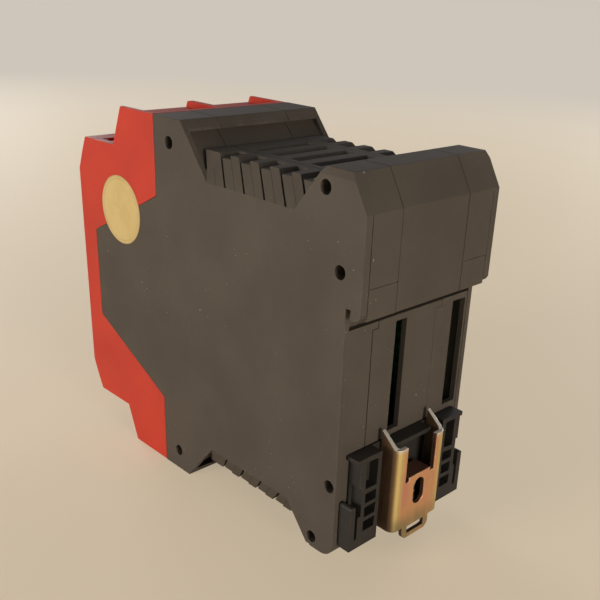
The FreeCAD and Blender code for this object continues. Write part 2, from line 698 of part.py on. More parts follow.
def undercut_route(end):
    """Return the sliver cut away below the lip of the terminal wall."""
    return [
        ("-terminal_back + overlap", drop(end, "lip_drop")),
        ("-(terminal_back + terminal_undercut)", drop(end, "lip_drop")),
        ("-notch_front", drop(end, "notch_drop")),
        ("-notch_front + overlap", drop(end, "notch_drop")),
    ]


def hollow_rear(body, start, length, side):
    """Set the rear wall back between the side plates, which carry the rail."""
    strip = outline(body, "rear_wall", "YZ", start, box_route(
        "-wall_plane", "-plate_plane + overlap", "tail_corner", "head_bottom"))
    return pocket(body, "rear_wall", strip, length, side)


def label_recess(body, side):
    """Cut the shallow recess of the seal label, which bridges the hood joint on one side."""
    if side > 0:
        recess = rounds(body, "label_recess", "YZ", "width / 2 - label_thick",
                        "label + joint_gap", [("-label_y", "label_z")])
        pocket(body, "label_recess", recess, "2 * label_thick")


def centre_frame():
    """Build the middle housing frame: a C-shaped ring with vents, rear slot and pegs."""
    body = new_body("centre_frame")
    start = "-centre_width / 2"
    edges = back_edges()
    pad(body, "ring", outline(body, "ring", "YZ", start, edges), "centre_width")
    for end in ENDS:
        deck = outline(body, f"{end}_deck", "XZ", "notch_back - deck_root", box_route(
            start, "centre_width / 2", drop(end, "notch_drop + overlap"), drop(end, "vent_drop")))
        pad(body, f"{end}_deck", deck, "notch_front - notch_back + deck_root + deck_foot")
        root = outline(body, f"{end}_root", "YZ", start, [
            ("-(notch_back + overlap)", drop(end, "notch_drop + wall")),
            ("-head_front", drop(end, "head_edge_drop")),
            ("-(head_front - wall)", drop(end, "head_edge_drop")),
            ("-(head_front - wall)", drop(end, "notch_drop + wall")),
        ])
        pad(body, f"{end}_root", root, "centre_width")
    route = slot_route("upper", "vent_first", "vent_middle_gap", "0", "0", "notch_drop + 2 * wall")
    drawing = outline(body, "vent", "YZ", "-vent_middle", route)
    vent = pocket(body, "vent", drawing, "2 * vent_middle")
    repeat(body, "vents", [vent], [
        row_of(body, "vents", "Y", "vent_pitch", "vent_middle_count"),
        mirror_in(body, "vents", middle_plane(body)),
    ])
    cavity = outline(body, "cavity", "YZ", f"{start} - overlap", cavity_edges())
    pocket(body, "cavity", cavity, "centre_width + 2 * overlap")
    hollow_rear(body, start, "centre_width", 1)
    for end in ENDS:
        undercut = outline(body, f"{end}_undercut", "YZ", start, undercut_route(end))
        pocket(body, f"{end}_undercut", undercut, "centre_width")
    rail_groove(body, "groove", start, "centre_width", 1)
    slot = outline(body, "rear_slot", "XZ", "wall_plane - overlap", box_route(
        "centre_slot_left", "centre_slot_right", "slot_low", "slot_high"))
    pocket(body, "rear_slot", slot, "wall + 2 * overlap")
    taken = wall_strip("-(centre_width / 2 + overlap)", "-recess_left", "joint_gap")
    cut = outline(body, "taken_strip", "XZ", "wall_plane - overlap", taken)
    pocket(body, "taken_strip", cut, "overlap + wall + joint_gap")
    given = wall_strip("centre_width / 2 - overlap", "recess_right", "0")
    pad(body, "given_strip", outline(body, "given_strip", "XZ", "wall_plane", given), "wall")
    peg_root = "centre_width / 2 - wall"
    for word, side in SIDES:
        root = f"{side} * ({peg_root})"
        ears = outline(body, f"{word}_ears", "YZ", root, *peg_ears())
        pad(body, f"{word}_ears", ears, "wall", side)
        pegs = outline(body, f"{word}_pegs", "YZ", root, *[
            polygon_route("peg", y, z, 8) for y, z in peg_places()])
        pad(body, f"{word}_pegs", pegs, "wall + peg_length", side)
    return body


# Hood ------------------------------------------------------------------------------------


def hood_end(end, inset):
    """Return one end of the hood outline from the joint to the front face, a wall inset."""
    lean = "(step_y - riser_y) / step_drop"
    roof = "0" if inset == "0" else "valley_drop + hood_wall"
    foot = f"step_drop + ({inset})"
    return [
        (f"-(riser_y + {lean} * ({roof}) - ({inset}))", drop(end, roof)),
        (f"-(riser_y + {lean} * ({foot}) - ({inset}))", drop(end, foot)),
        (f"-(brow_y - ({inset}) / 2)", drop(end, foot)),
        (f"-(brow_mid_y - ({inset}))", drop(end, f"brow_mid_drop + ({inset}) / 4"), "via"),
        (f"-(front_depth - ({inset}))", drop(end, "face_drop")),
    ]


def front_hood():
    """Build the red hood: stepped terminal tiers, wire valleys, indicator window."""
    body = new_body("front_hood")
    start = "-width / 2"
    edge = "hood_edge + joint_gap"
    nose = "nose + joint_gap"
    joint = [
        (f"-({edge})", "0"),
        (f"-({edge})", "edge_corner - joint_gap"),
        (f"-({nose})", "nose_corner"),
        (f"-({nose})", "height - nose_corner"),
        (f"-({edge})", "height - edge_corner + joint_gap"),
        (f"-({edge})", "height"),
    ]
    outer = joint + hood_end("upper", "0") + hood_end("lower", "0")[::-1]
    pad(body, "shell", outline(body, "shell", "YZ", start, outer), "width")
    roof = "valley_drop + hood_wall"
    inner = [("-(hood_edge - overlap)", roof), ("-(hood_edge - overlap)", f"height - ({roof})")]
    inner += hood_end("upper", "hood_wall") + hood_end("lower", "hood_wall")[::-1]
    cavity = outline(body, "cavity", "YZ", f"{start} + hood_wall", inner)
    pocket(body, "cavity", cavity, "width - 2 * hood_wall")

    # Valleys that lead wires into the outer tier, one on each side of the middle rib.
    valley_left, valley_right = "rib_half", "width / 2 - hood_wall"
    for end in ENDS:
        for word, side in SIDES:
            sides = (f"{side} * ({valley_left})", f"{side} * ({valley_right})")
            valley = outline(body, f"{end}_{word}_valley", "XZ", "valley_back", box_route(
                *sides, drop(end, "valley_drop"), drop(end, "-overlap")))
            pocket(body, f"{end}_{word}_valley", valley, "step_y - valley_back")
    wire_entries(body)
    driver_holes(body)
    window = outline(body, "window", "XZ", "front_depth - hood_wall - overlap", box_route(
        "-window_width / 2", "window_width / 2",
        "(height - window_height) / 2", "(height + window_height) / 2"))
    pocket(body, "window", window, "hood_wall + 2 * overlap")
    label_recess(body, 1)
    return body


def pole_steps(body, name):
    """Return the steps that repeat a feature over all poles, both halves and both ends."""
    return [
        row_of(body, name, "X", "pole_pitch", "pole_count"),
        mirror_in(body, f"{name}_side", origin_plane(body, "YZ_Plane")),
        mirror_in(body, f"{name}_end", middle_plane(body)),
    ]


FIRST_POLE = "block_edge + pole_pitch / 2"


def wire_entries(body):
    """Cut the square wire entries into the two tiers of the hood."""
    left, right = f"{FIRST_POLE} - wire_hole / 2", f"{FIRST_POLE} + wire_hole / 2"
    cuts = []
    for tier, level in (("outer", "valley_drop"), ("inner", "step_drop")):
        centre = f"-({tier}_block_y - wire_y)"
        hole = outline(body, f"{tier}_wire", "XY", f"height - {level} - 2 * hood_wall", box_route(
            left, right, f"{centre} - wire_hole / 2", f"{centre} + wire_hole / 2"))
        cuts.append(pocket(body, f"{tier}_wire", hole, "3 * hood_wall"))
    repeat(body, "wire_entries", cuts, pole_steps(body, "wire"))


def driver_holes(body):
    """Cut the round screwdriver holes into the riser and the brow of the hood."""
    cuts = []
    for tier, back in (("outer", "riser_y - hood_wall"), ("inner", "brow_y - hood_wall")):
        hole = outline(body, f"{tier}_driver", "XZ", back, polygon_route(
            "driver_hole", FIRST_POLE, screw_level("upper", tier), 12))
        cuts.append(pocket(body, f"{tier}_driver", hole, "5 * hood_wall"))
    repeat(body, "driver_holes", cuts, pole_steps(body, "driver"))


# Terminals -------------------------------------------------------------------------------


def screw_level(end, tier):
    """Return the height of the screw axes in a tier."""
    return drop(end, f"{tier}_block_drop + block_tall / 2")


def terminal_block(end, tier, word, side):
    """Build one block body with a clamp chamber and a screw shaft for each pole."""
    body = new_body(f"{end}_{tier}_block_{word}")
    span = f"{side} * (block_edge + pole_pitch * pole_count)"
    low, high = f"{tier}_block_drop + block_tall", f"{tier}_block_drop"
    front = f"{tier}_block_y"
    case = outline(body, "case", "XZ", f"{front} - block_deep", box_route(
        f"{side} * block_edge", span, drop(end, low), drop(end, high)))
    pad(body, "case", case, "block_deep")
    room = "cage_width / 2 + cage_play"
    depth = "cage_deep / 2 + cage_play"
    centre = f"-({front} - wire_y)"
    toward = 1 if end == "upper" else -1
    chamber = outline(
        body, "chamber", "XY", drop(end, f"{low} - block_floor"),
        box_route(f"{side} * ({FIRST_POLE}) - ({room})", f"{side} * ({FIRST_POLE}) + ({room})",
                  f"{centre} - ({depth})", f"{centre} + ({depth})"))
    chamber_cut = pocket(body, "chamber", chamber, "block_tall", toward)
    shaft = outline(body, "shaft", "XZ", f"{front} - wire_y", polygon_route(
        "driver_shaft", f"{side} * ({FIRST_POLE})", screw_level(end, tier), 4))
    shaft_cut = pocket(body, "shaft", shaft, "wire_y + overlap")
    row = row_of(body, "poles", "X", "pole_pitch", "pole_count")
    row.Reversed = side < 0
    repeat(body, "poles", [chamber_cut, shaft_cut], [row])
    return body


def terminal_clamps():
    """Build the lift cages of all terminals, as one group of separate solids."""
    body = new_body("terminal_clamps")
    parts = []
    for tier in TIERS:
        centre = f"-({tier}_block_y - wire_y)"
        low = f"height - {tier}_block_drop - block_tall + block_floor + cage_play"
        half_x, half_y = "cage_width / 2", "cage_deep / 2"
        loops = [
            box_route(f"{FIRST_POLE} - {a}", f"{FIRST_POLE} + {a}", f"{centre} - {b}", f"{centre} + {b}")
            for a, b in ((half_x, half_y), (f"({half_x} - cage_wall)", f"({half_y} - cage_wall)"))
        ]
        cage = outline(body, f"{tier}_cage", "XY", low, *loops)
        parts.append(pad(body, f"{tier}_cage", cage, "cage_tall"))
        hole = outline(body, f"{tier}_thread", "XZ", f"{tier}_block_y - wire_y", polygon_route(
            "screw + screw_play", FIRST_POLE, screw_level("upper", tier), 4))
        parts.append(pocket(body, f"{tier}_thread", hole, "cage_deep"))
    repeat(body, "all", parts, pole_steps(body, "all"))
    return body


def terminal_screws():
    """Build the clamp screws of all terminals, as one group of separate solids."""
    body = new_body("terminal_screws")
    parts = []
    for tier in TIERS:
        level = screw_level("upper", tier)
        head_front = f"{tier}_block_y - screw_sunk"
        for word, across, sides, back, length in (
            ("head", "screw_head", 8, f"{head_front} - screw_head_tall", "screw_head_tall"),
            ("shank", "screw", 4, f"{head_front} - screw_head_tall - screw_length",
             "screw_length"),
        ):
            drawing = outline(body, f"{tier}_{word}", "XZ", back, polygon_route(
                across, FIRST_POLE, level, sides))
            parts.append(pad(body, f"{tier}_{word}", drawing, length))
    repeat(body, "all", parts, pole_steps(body, "all"))
    return body


# Rail foot, clip and spring --------------------------------------------------------------


def rail_foot():
    """Build the foot below the rail: ribbed side blocks, top plate and clip guide."""
    body = new_body("rail_foot")
    back = "plate_plane"
    skin = outline(body, "skin", "XZ", f"{back} - foot_skin / 2", box_route(
        "-foot_post", "foot_post", "foot_low", "foot_top"))
    pad(body, "skin", skin, "foot_skin / 2")
    face = "foot_sunk"
    depth = f"{back} - foot_sunk"
    for word, side in SIDES:
        block = mirrored([
            ("foot_inner", "foot_low"),
            ("foot_lug", "foot_low"),
            ("foot_lug", "foot_lug_top - foot_lug_round"),
            ("(foot_lug + foot_half) / 2", "foot_lug_top", "via"),
            ("foot_half", "foot_lug_top - foot_lug_round"),
            ("foot_half", "foot_base"),
            ("foot_post", "foot_base"),
            ("foot_post", "foot_waist_low"),
            ("foot_waist", "foot_waist_low"),
            ("foot_waist", "foot_waist_top"),
            ("foot_post", "foot_waist_top"),
            ("foot_post", "foot_top - foot_skin"),
            ("foot_half", "foot_top - foot_skin"),
            ("foot_half", "foot_top"),
            ("foot_inner", "foot_top"),
        ], side)
        pad(body, f"{word}_block", outline(body, f"{word}_block", "XZ", face, block), depth)
        post = "foot_waist - foot_skin"
        window = mirrored(box_route(
            "foot_inner + foot_skin", post, "foot_window_low", "foot_top - foot_skin"), side)
        pocket(body, f"{word}_window", outline(
            body, f"{word}_window", "XZ", face, window), f"{depth} - foot_skin")
        cell = mirrored(box_route(
            "foot_inner + foot_skin", post, "foot_window_low - foot_rib_pitch",
            "foot_window_low - foot_rib"), side)
        cut = pocket(body, f"{word}_cell", outline(
            body, f"{word}_cell", "XZ", face, cell), f"{depth} - foot_skin")
        row = row_of(body, f"{word}_cells", "Z", "foot_rib_pitch", "foot_cells")
        row.Reversed = True
        repeat(body, f"{word}_cells", [cut], [row])
    bar = outline(body, "bar", "XZ", face, box_route(
        "-foot_bar", "foot_bar", "foot_top - foot_skin", "foot_top"))
    pad(body, "bar", bar, depth)
    clip_guide(body)
    return body


def clip_guide(body):
    """Add the guide block between the clip's legs, with the chamber of its spring."""
    half = "clip_half - clip_sheet - clip_play"
    face = "-(clip_proud - clip_sheet - clip_play)"
    chamber = "tongue_half + clip_play"
    top = "clip_slot_top - clip_play"
    guide = outline(body, "guide", "XZ", face, box_route(
        f"-({half})", half, "spring_seat - foot_skin", top))
    pad(body, "guide", guide, f"plate_plane - ({face})")
    room = outline(body, "room", "XZ", f"{face} - overlap", box_route(
        f"-({chamber})", chamber, "spring_seat", "clip_slot_top + overlap"))
    pocket(body, "room", room, f"tongue_tip + clip_play - ({face}) + overlap")


def rail_clip():
    """Build the sheet metal clip: bent legs with hooks, window, tongue, slot and pull tab."""
    body = new_body("rail_clip")
    inner_bend = "(clip_bend - clip_sheet)"
    half, sheet = "clip_half", "clip_sheet"

    def bend(side, radius, inset):
        return (f"{side} * (clip_half - {inset} - {DIAGONAL} * {radius})",
                f"clip_proud - {inset} - {DIAGONAL} * {radius}", "via")

    channel = [
        (f"-{half}", "-clip_reach"),
        (f"-{half}", "clip_proud - clip_bend"),
        bend(-1, "clip_bend", "0"),
        (f"-({half} - clip_bend)", "clip_proud"),
        (f"{half} - clip_bend", "clip_proud"),
        bend(1, "clip_bend", "0"),
        (half, "clip_proud - clip_bend"),
        (half, "-clip_reach"),
        (f"{half} - {sheet}", "-clip_reach"),
        (f"{half} - {sheet}", "clip_proud - clip_bend"),
        bend(1, inner_bend, sheet),
        (f"{half} - clip_bend", f"clip_proud - {sheet}"),
        (f"-({half} - clip_bend)", f"clip_proud - {sheet}"),
        bend(-1, inner_bend, sheet),
        (f"-({half} - {sheet})", "clip_proud - clip_bend"),
        (f"-({half} - {sheet})", "-clip_reach"),
    ]
    profile = outline(body, "channel", "XY", "clip_low", channel)
    pad(body, "channel", profile, "hook_top - clip_low")
    hooks = outline(body, "hooks", "YZ", "-width / 2", [
        ("clip_proud + overlap", "clip_top"),
        ("clip_proud - clip_sheet", "clip_top"),
        ("-clip_reach", "hook_top"),
        ("-clip_reach", "hook_top + overlap"),
        ("clip_proud + overlap", "hook_top + overlap"),
    ])
    pocket(body, "hooks", hooks, "width")
    front = "-(clip_proud + overlap)"
    window = outline(body, "window", "XZ", front, [
        ("-clip_window", "hook_top"),
        ("-clip_window", "tongue_top - clip_sheet"),
        ("-tongue_half", "tongue_top - clip_sheet"),
        ("-tongue_half", "tongue_top"),
        ("tongue_half", "tongue_top"),
        ("tongue_half", "tongue_top - clip_sheet"),
        ("clip_window", "tongue_top - clip_sheet"),
        ("clip_window", "hook_top"),
    ])
    pocket(body, "window", window, "clip_sheet + 1.5 * overlap")
    tongue = outline(body, "tongue", "XZ", "-(clip_proud - clip_sheet)", box_route(
        "-tongue_half", "tongue_half", "tongue_top - clip_sheet", "tongue_top"))
    pad(body, "tongue", tongue, "clip_proud - clip_sheet + tongue_tip")
    slot = outline(body, "slot", "XZ", front, [
        ("-clip_slot", "clip_slot_low + clip_slot"),
        ("0", "clip_slot_low", "via"),
        ("clip_slot", "clip_slot_low + clip_slot"),
        ("clip_slot", "clip_slot_top - clip_slot"),
        ("0", "clip_slot_top", "via"),
        ("-clip_slot", "clip_slot_top - clip_slot"),
    ])
    pocket(body, "slot", slot, "clip_sheet + 1.5 * overlap")
    tab = outline(body, "tab", "XZ", "-clip_proud", [
        ("-tab_half", "clip_low + overlap"),
        ("-tab_half", "tab_low + tab_round"),
        (f"-(tab_half - {DIAGONAL} * tab_round)", f"tab_low + {DIAGONAL} * tab_round", "via"),
        ("-(tab_half - tab_round)", "tab_low"),
        ("tab_half - tab_round", "tab_low"),
        (f"tab_half - {DIAGONAL} * tab_round", f"tab_low + {DIAGONAL} * tab_round", "via"),
        ("tab_half", "tab_low + tab_round"),
        ("tab_half", "clip_low + overlap"),
    ])
    pad(body, "tab", tab, "clip_sheet")
    hole = outline(body, "tab_hole", "XZ", front, box_route(
        "-tab_hole", "tab_hole", "tab_hole_low", "tab_hole_top"))
    pocket(body, "tab_hole", hole, "clip_sheet + 1.5 * overlap")
    return body


def clip_spring():
    """Build the compression spring between the foot's floor and the clip's tongue."""
    body = new_body("clip_spring")
    play = "clip_play / 3"
    low = f"spring_seat + spring_wire / 2 + {play}"
    tall = f"tongue_top - clip_sheet - spring_seat - spring_wire - 2 * {play}"
    radius = "spring_mean / 2"
    axis_y = "-(tongue_tip + clip_play - (clip_proud - clip_sheet)) / 2"
    wire = outline(body, "wire", "XZ", "0", polygon_route("spring_wire", radius, low, 4))
    helix = body.newObject("PartDesign::AdditiveHelix", "clip_spring_coil")
    helix.Profile = wire
    helix.ReferenceAxis = (wire, ["V_Axis"])
    helix.Mode = "height-turns-angle"
    helix.setExpression("Height", bound(tall))
    helix.setExpression("Turns", bound("spring_turns"))
    body.Tip = helix
    body.setExpression("Placement.Base.y", bound(f"(front_depth - clip_proud) / 2 + {axis_y}"))
    return body


# Boards and their components -------------------------------------------------------------


def plate_body(name, start, edges, thick, side):
    """Build a flat piece that lies parallel to the side plates."""
    body = new_body(name)
    pad(body, "plate", outline(body, "plate", "YZ", start, edges), thick, side)
    return body


def side_board(word, side):
    """Build one main circuit board, held between the vent decks."""
    inset = "notch_drop + wall + board_play"
    return plate_body(f"main_board_{word}", f"{side} * board_x", box_route(
        "-board_front", "-board_back", inset, f"height - ({inset})"), "board", side)


def front_board():
    """Build the indicator board behind the front face."""
    body = new_body("front_board")
    drawing = outline(body, "plate", "XZ", "front_board_y - board", box_route(
        "-board_x", "board_x", "front_board_low", "height - front_board_low"))
    pad(body, "plate", drawing, "board")
    return body


def safety_relay(index):
    """Build one sealed relay on the right board."""
    body = new_body(f"safety_relay_{index + 1}")
    low = f"height - relay_drop - relay_wide - {RELAYS - 1 - index} * relay_pitch"
    drawing = outline(body, "case", "YZ", "board_x - lead_gap", box_route(
        "-relay_front", "-(relay_front - relay_long)", low, f"{low} + relay_wide"))
    case = pad(body, "case", drawing, "relay_tall", -1)
    DOCUMENT.recompute()
    bevel = body.newObject("PartDesign::Chamfer", f"{body.Name}_bevel")
    bevel.Base = (case, edges_facing(case.Shape, "board_x - lead_gap"))
    bevel.setExpression("Size", bound("relay_bevel"))
    body.Tip = bevel
    return body


def edges_facing(shape, board_face):
    """Return the names of all edges that don't lie on the board side."""
    names = []
    for index, edge in enumerate(shape.Edges, start=1):
        if edge.BoundBox.XMin < value(board_face) - value("relay_bevel"):
            names.append(f"Edge{index}")
    return names


def transformer():
    """Build the laminated core and the wound bobbin of the supply transformer."""
    face = "-(board_x - lead_gap)"
    left, right = "-core_front", "-(core_front - core_long)"
    gap = "coil_stack / 2 - core_stack / 2"
    window = "core_leg"
    middle = f"({left} + {right}) / 2"
    core = new_body("transformer_core")
    high = "core_low + core_high"
    lower, upper = f"core_low + {window}", f"{high} - {window}"
    laminations = outline(
        core, "laminations", "YZ", f"{face} + {gap}",
        box_route(left, right, "core_low", high),
        box_route(f"{left} + {window}", f"{middle} - {window}", lower, upper),
        box_route(f"{middle} + {window}", f"{right} - {window}", lower, upper),
    )
    pad(core, "laminations", laminations, "core_stack")
    coil = new_body("transformer_coil")
    play = "coil_play"
    winding = outline(
        coil, "winding", "XY", f"{lower} + {play}",
        box_route(face, f"{face} + coil_stack",
                  f"{left} + {window} + {play}", f"{right} - {window} - {play}"),
        box_route(f"{face} + {gap} - {play}", f"{face} + {gap} + core_stack + {play}",
                  f"{middle} - {window} - {play}", f"{middle} + {window} + {play}"),
    )
    pad(coil, "winding", winding, f"core_high - 2 * ({window} + {play})")
    return core, coil


def can(name, side, diameter, tall, y, z):
    """Build an upright round component on the inner face of a side board."""
    body = new_body(name)
    start = f"{side} * (board_x - lead_gap)"
    drawing = rounds(body, "can", "YZ", start, diameter, [(f"-{y}", z)])
    pad(body, "can", drawing, tall, -side)
    return body


def indicators():
    """Build the row of indicators on the front board, as one group of separate solids."""
    body = new_body("indicators")
    first = "height / 2 - led_pitch * (led_count - 1) / 2"
    drawing = rounds(body, "led", "XZ", "front_board_y", "led", [("0", first)])
    led = pad(body, "led", drawing, "led_tall")
    repeat(body, "row", [led], [row_of(body, "leds", "Z", "led_pitch", "led_count")])
    return body


def window_lens():
    """Build the clear lens that closes the indicator window of the hood."""
    body = new_body("window_lens")
    pane = outline(body, "pane", "XZ", "front_depth - hood_wall", box_route(
        "-(window_width / 2 - joint_gap)", "window_width / 2 - joint_gap",
        "(height - window_height) / 2 + joint_gap", "(height + window_height) / 2 - joint_gap"))
    pad(body, "pane", pane, "hood_wall - joint_gap")
    return body


def seal_label():
    """Build the round label that bridges the joint of hood and side shell."""
    body = new_body("seal_label")
    disc = rounds(body, "disc", "YZ", "width / 2 - label_thick", "label", [("-label_y", "label_z")])
    pad(body, "disc", disc, "label_thick")
    return body


# Assembly --------------------------------------------------------------------------------


def build():
    """Build every sub-part of the module."""
    fill_sheet()
    for word, side in SIDES:
        side_shell(f"side_shell_{word}", side)
    centre_frame()
    front_hood()
    for end in ENDS:
        for tier in TIERS:
            for word, side in SIDES:
                terminal_block(end, tier, word, side)
    terminal_clamps()
    terminal_screws()
    rail_foot()
    rail_clip()
    clip_spring()
    for word, side in SIDES:
        side_board(word, side)
    front_board()
    for index in range(RELAYS):
        safety_relay(index)
    transformer()
    can("smoothing_capacitor", -1, "capacitor", "capacitor_tall", "capacitor_y", "capacitor_z")
    can("fuse", -1, "fuse", "fuse_tall", "fuse_y", "fuse_z")
    can("varistor", -1, "varistor", "varistor_thick", "varistor_y", "varistor_z")
    indicators()
    window_lens()
    seal_label()
    DOCUMENT.recompute()


def check():
    """Stop if any object failed or any sub-part has no sound solid."""
    for item in DOCUMENT.Objects:
        if {"Invalid", "Error"} & set(item.State):
            raise RuntimeError(f"{item.Name} is {item.State}")
    for body in SUBPARTS:
        if body.Shape.isNull() or not body.Shape.isValid() or not body.Shape.Solids:
            raise RuntimeError(f"{body.Label} has no sound solid")


def export():
    """Write one STEP file for each sub-part."""
    os.makedirs("parts", exist_ok=True)
    for body in SUBPARTS:
        body.Shape.exportStep(f"parts/{body.Label}.step")


build()
check()
export()
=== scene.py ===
"""Looks of a slim safety relay module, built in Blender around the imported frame.

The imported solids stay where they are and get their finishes. The shells, the middle frame,
the hood, the foot and the clip are shown as copies with small roundings, and the terminal
screws and the lamps as finer shapes. A pale floor, soft light and a camera stand around them.
"""

import json
import logging
import math
from dataclasses import dataclass, field
from enum import Enum
from typing import Any, Callable

import bmesh
import bpy
import numpy as np
from mathutils import Matrix, Vector


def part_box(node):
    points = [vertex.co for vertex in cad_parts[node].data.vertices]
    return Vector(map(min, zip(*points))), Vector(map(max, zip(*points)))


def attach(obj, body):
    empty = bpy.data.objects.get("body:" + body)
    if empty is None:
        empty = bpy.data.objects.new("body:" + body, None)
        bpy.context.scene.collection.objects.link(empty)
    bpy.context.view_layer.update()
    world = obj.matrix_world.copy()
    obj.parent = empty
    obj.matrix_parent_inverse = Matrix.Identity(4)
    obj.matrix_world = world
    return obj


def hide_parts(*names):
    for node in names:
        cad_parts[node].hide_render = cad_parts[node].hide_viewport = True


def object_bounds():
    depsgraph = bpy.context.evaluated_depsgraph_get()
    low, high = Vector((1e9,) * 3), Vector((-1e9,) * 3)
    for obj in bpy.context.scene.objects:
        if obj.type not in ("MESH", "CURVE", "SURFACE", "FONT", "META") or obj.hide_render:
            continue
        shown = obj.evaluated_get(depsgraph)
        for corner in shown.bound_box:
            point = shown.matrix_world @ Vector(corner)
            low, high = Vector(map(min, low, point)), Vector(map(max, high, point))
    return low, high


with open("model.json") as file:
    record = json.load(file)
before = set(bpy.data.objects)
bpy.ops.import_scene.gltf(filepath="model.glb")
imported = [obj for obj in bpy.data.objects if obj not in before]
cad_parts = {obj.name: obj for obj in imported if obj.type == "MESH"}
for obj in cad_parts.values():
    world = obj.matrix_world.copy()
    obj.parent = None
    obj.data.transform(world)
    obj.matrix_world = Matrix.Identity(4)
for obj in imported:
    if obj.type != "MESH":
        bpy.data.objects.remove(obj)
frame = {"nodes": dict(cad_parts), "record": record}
CAD_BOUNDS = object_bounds()

LOG = logging.getLogger("relay")
MM = 0.001
DATUM_Y = 54.45 * MM


class Body(Enum):
    """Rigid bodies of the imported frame."""

    HOUSING = "housing"
    CLIP = "clip"


# Shader building ---------------------------------------------------------------------------


def operator(operation: str, first: bool = True) -> Callable[..., "Value"]:
    """Make a method that adds one Math node for a value and others.

    Args:
        operation: Kind of operation.
        first: Whether the value comes before the others.

    Returns:
        The method.
    """

    def method(value: "Value", *others: Any) -> "Value":
        """Apply the operation to the value and the others."""
        items = [value.socket, *others] if first else [*others, value.socket]
        node = value.graph.node(
            "ShaderNodeMath", {"operation": operation}, dict(enumerate(items))
        )
        return Value(value.graph, node.outputs[0])

    return method


@dataclass(frozen=True)
class Value:
    """A shader socket that carries a number, with maths as Python operators.

    A comparison gives 1 or 0.
    """

    graph: "Nodes"
    socket: Any

    __add__ = __radd__ = operator("ADD")
    __sub__ = operator("SUBTRACT")
    __rsub__ = operator("SUBTRACT", first=False)
    __mul__ = __rmul__ = operator("MULTIPLY")
    __truediv__ = operator("DIVIDE")
    __rtruediv__ = operator("DIVIDE", first=False)
    __gt__ = operator("GREATER_THAN")
    __lt__ = operator("LESS_THAN")
    __abs__ = operator("ABSOLUTE")
    power = operator("POWER")
    rounded = operator("ROUND")
    sine = operator("SINE")
    lowest = operator("MINIMUM")
    highest = operator("MAXIMUM")

    def clamped(self) -> "Value":
        """Hold the value between 0 and 1."""
        return self.lowest(1.0).highest(0.0)

    def ramp(self, low: float, high: float) -> "Value":
        """Map the range from low to high onto 0 to 1, smoothly and held at the ends.

        Args:
            low: Value that becomes 0.
            high: Value that becomes 1.

        Returns:
            The mapped value.
        """
        node = self.graph.node(
            "ShaderNodeMapRange",
            {"interpolation_type": "SMOOTHSTEP"},
            {"Value": self.socket, "From Min": low, "From Max": high},
        )
        return Value(self.graph, node.outputs["Result"])


class Nodes:
    """A node tree that starts empty."""

    def __init__(self, tree: bpy.types.NodeTree) -> None:
        """Take a tree and clear it."""
        self.tree = tree
        self.tree.nodes.clear()

    def feed(self, target: bpy.types.NodeSocket, entry: Any) -> None:
        """Link a value or socket to an input, or set the input to a plain value.

        Args:
            target: Input socket.
            entry: Value, output socket, number or colour.
        """
        entry = entry.socket if isinstance(entry, Value) else entry
        if isinstance(entry, bpy.types.NodeSocket):
            self.tree.links.new(entry, target)
        else:
            target.default_value = entry

    def node(
        self,
        kind: str,
        settings: dict[str, Any] | None = None,
        sockets: dict[Any, Any] | None = None,
    ) -> Any:
        """Add any node.

        Args:
            kind: Node type.
            settings: Properties, set before the sockets.
            sockets: Values or links by socket name or number.

        Returns:
            The new node.
        """
        made = self.tree.nodes.new(kind)
        for key, setting in (settings or {}).items():
            setattr(made, key, setting)
        for key, entry in (sockets or {}).items():
            self.feed(made.inputs[key], entry)
        return made

    def mix(self, factor: Any, first: Any, second: Any) -> Any:
        """Blend two colours.

        Args:
            factor: Share of the second colour.
            first: First colour.
            second: Second colour.

        Returns:
            The colour socket.
        """
        sockets = {"Factor": factor, 6: first, 7: second}
        return self.node("ShaderNodeMix", {"data_type": "RGBA"}, sockets).outputs[2]


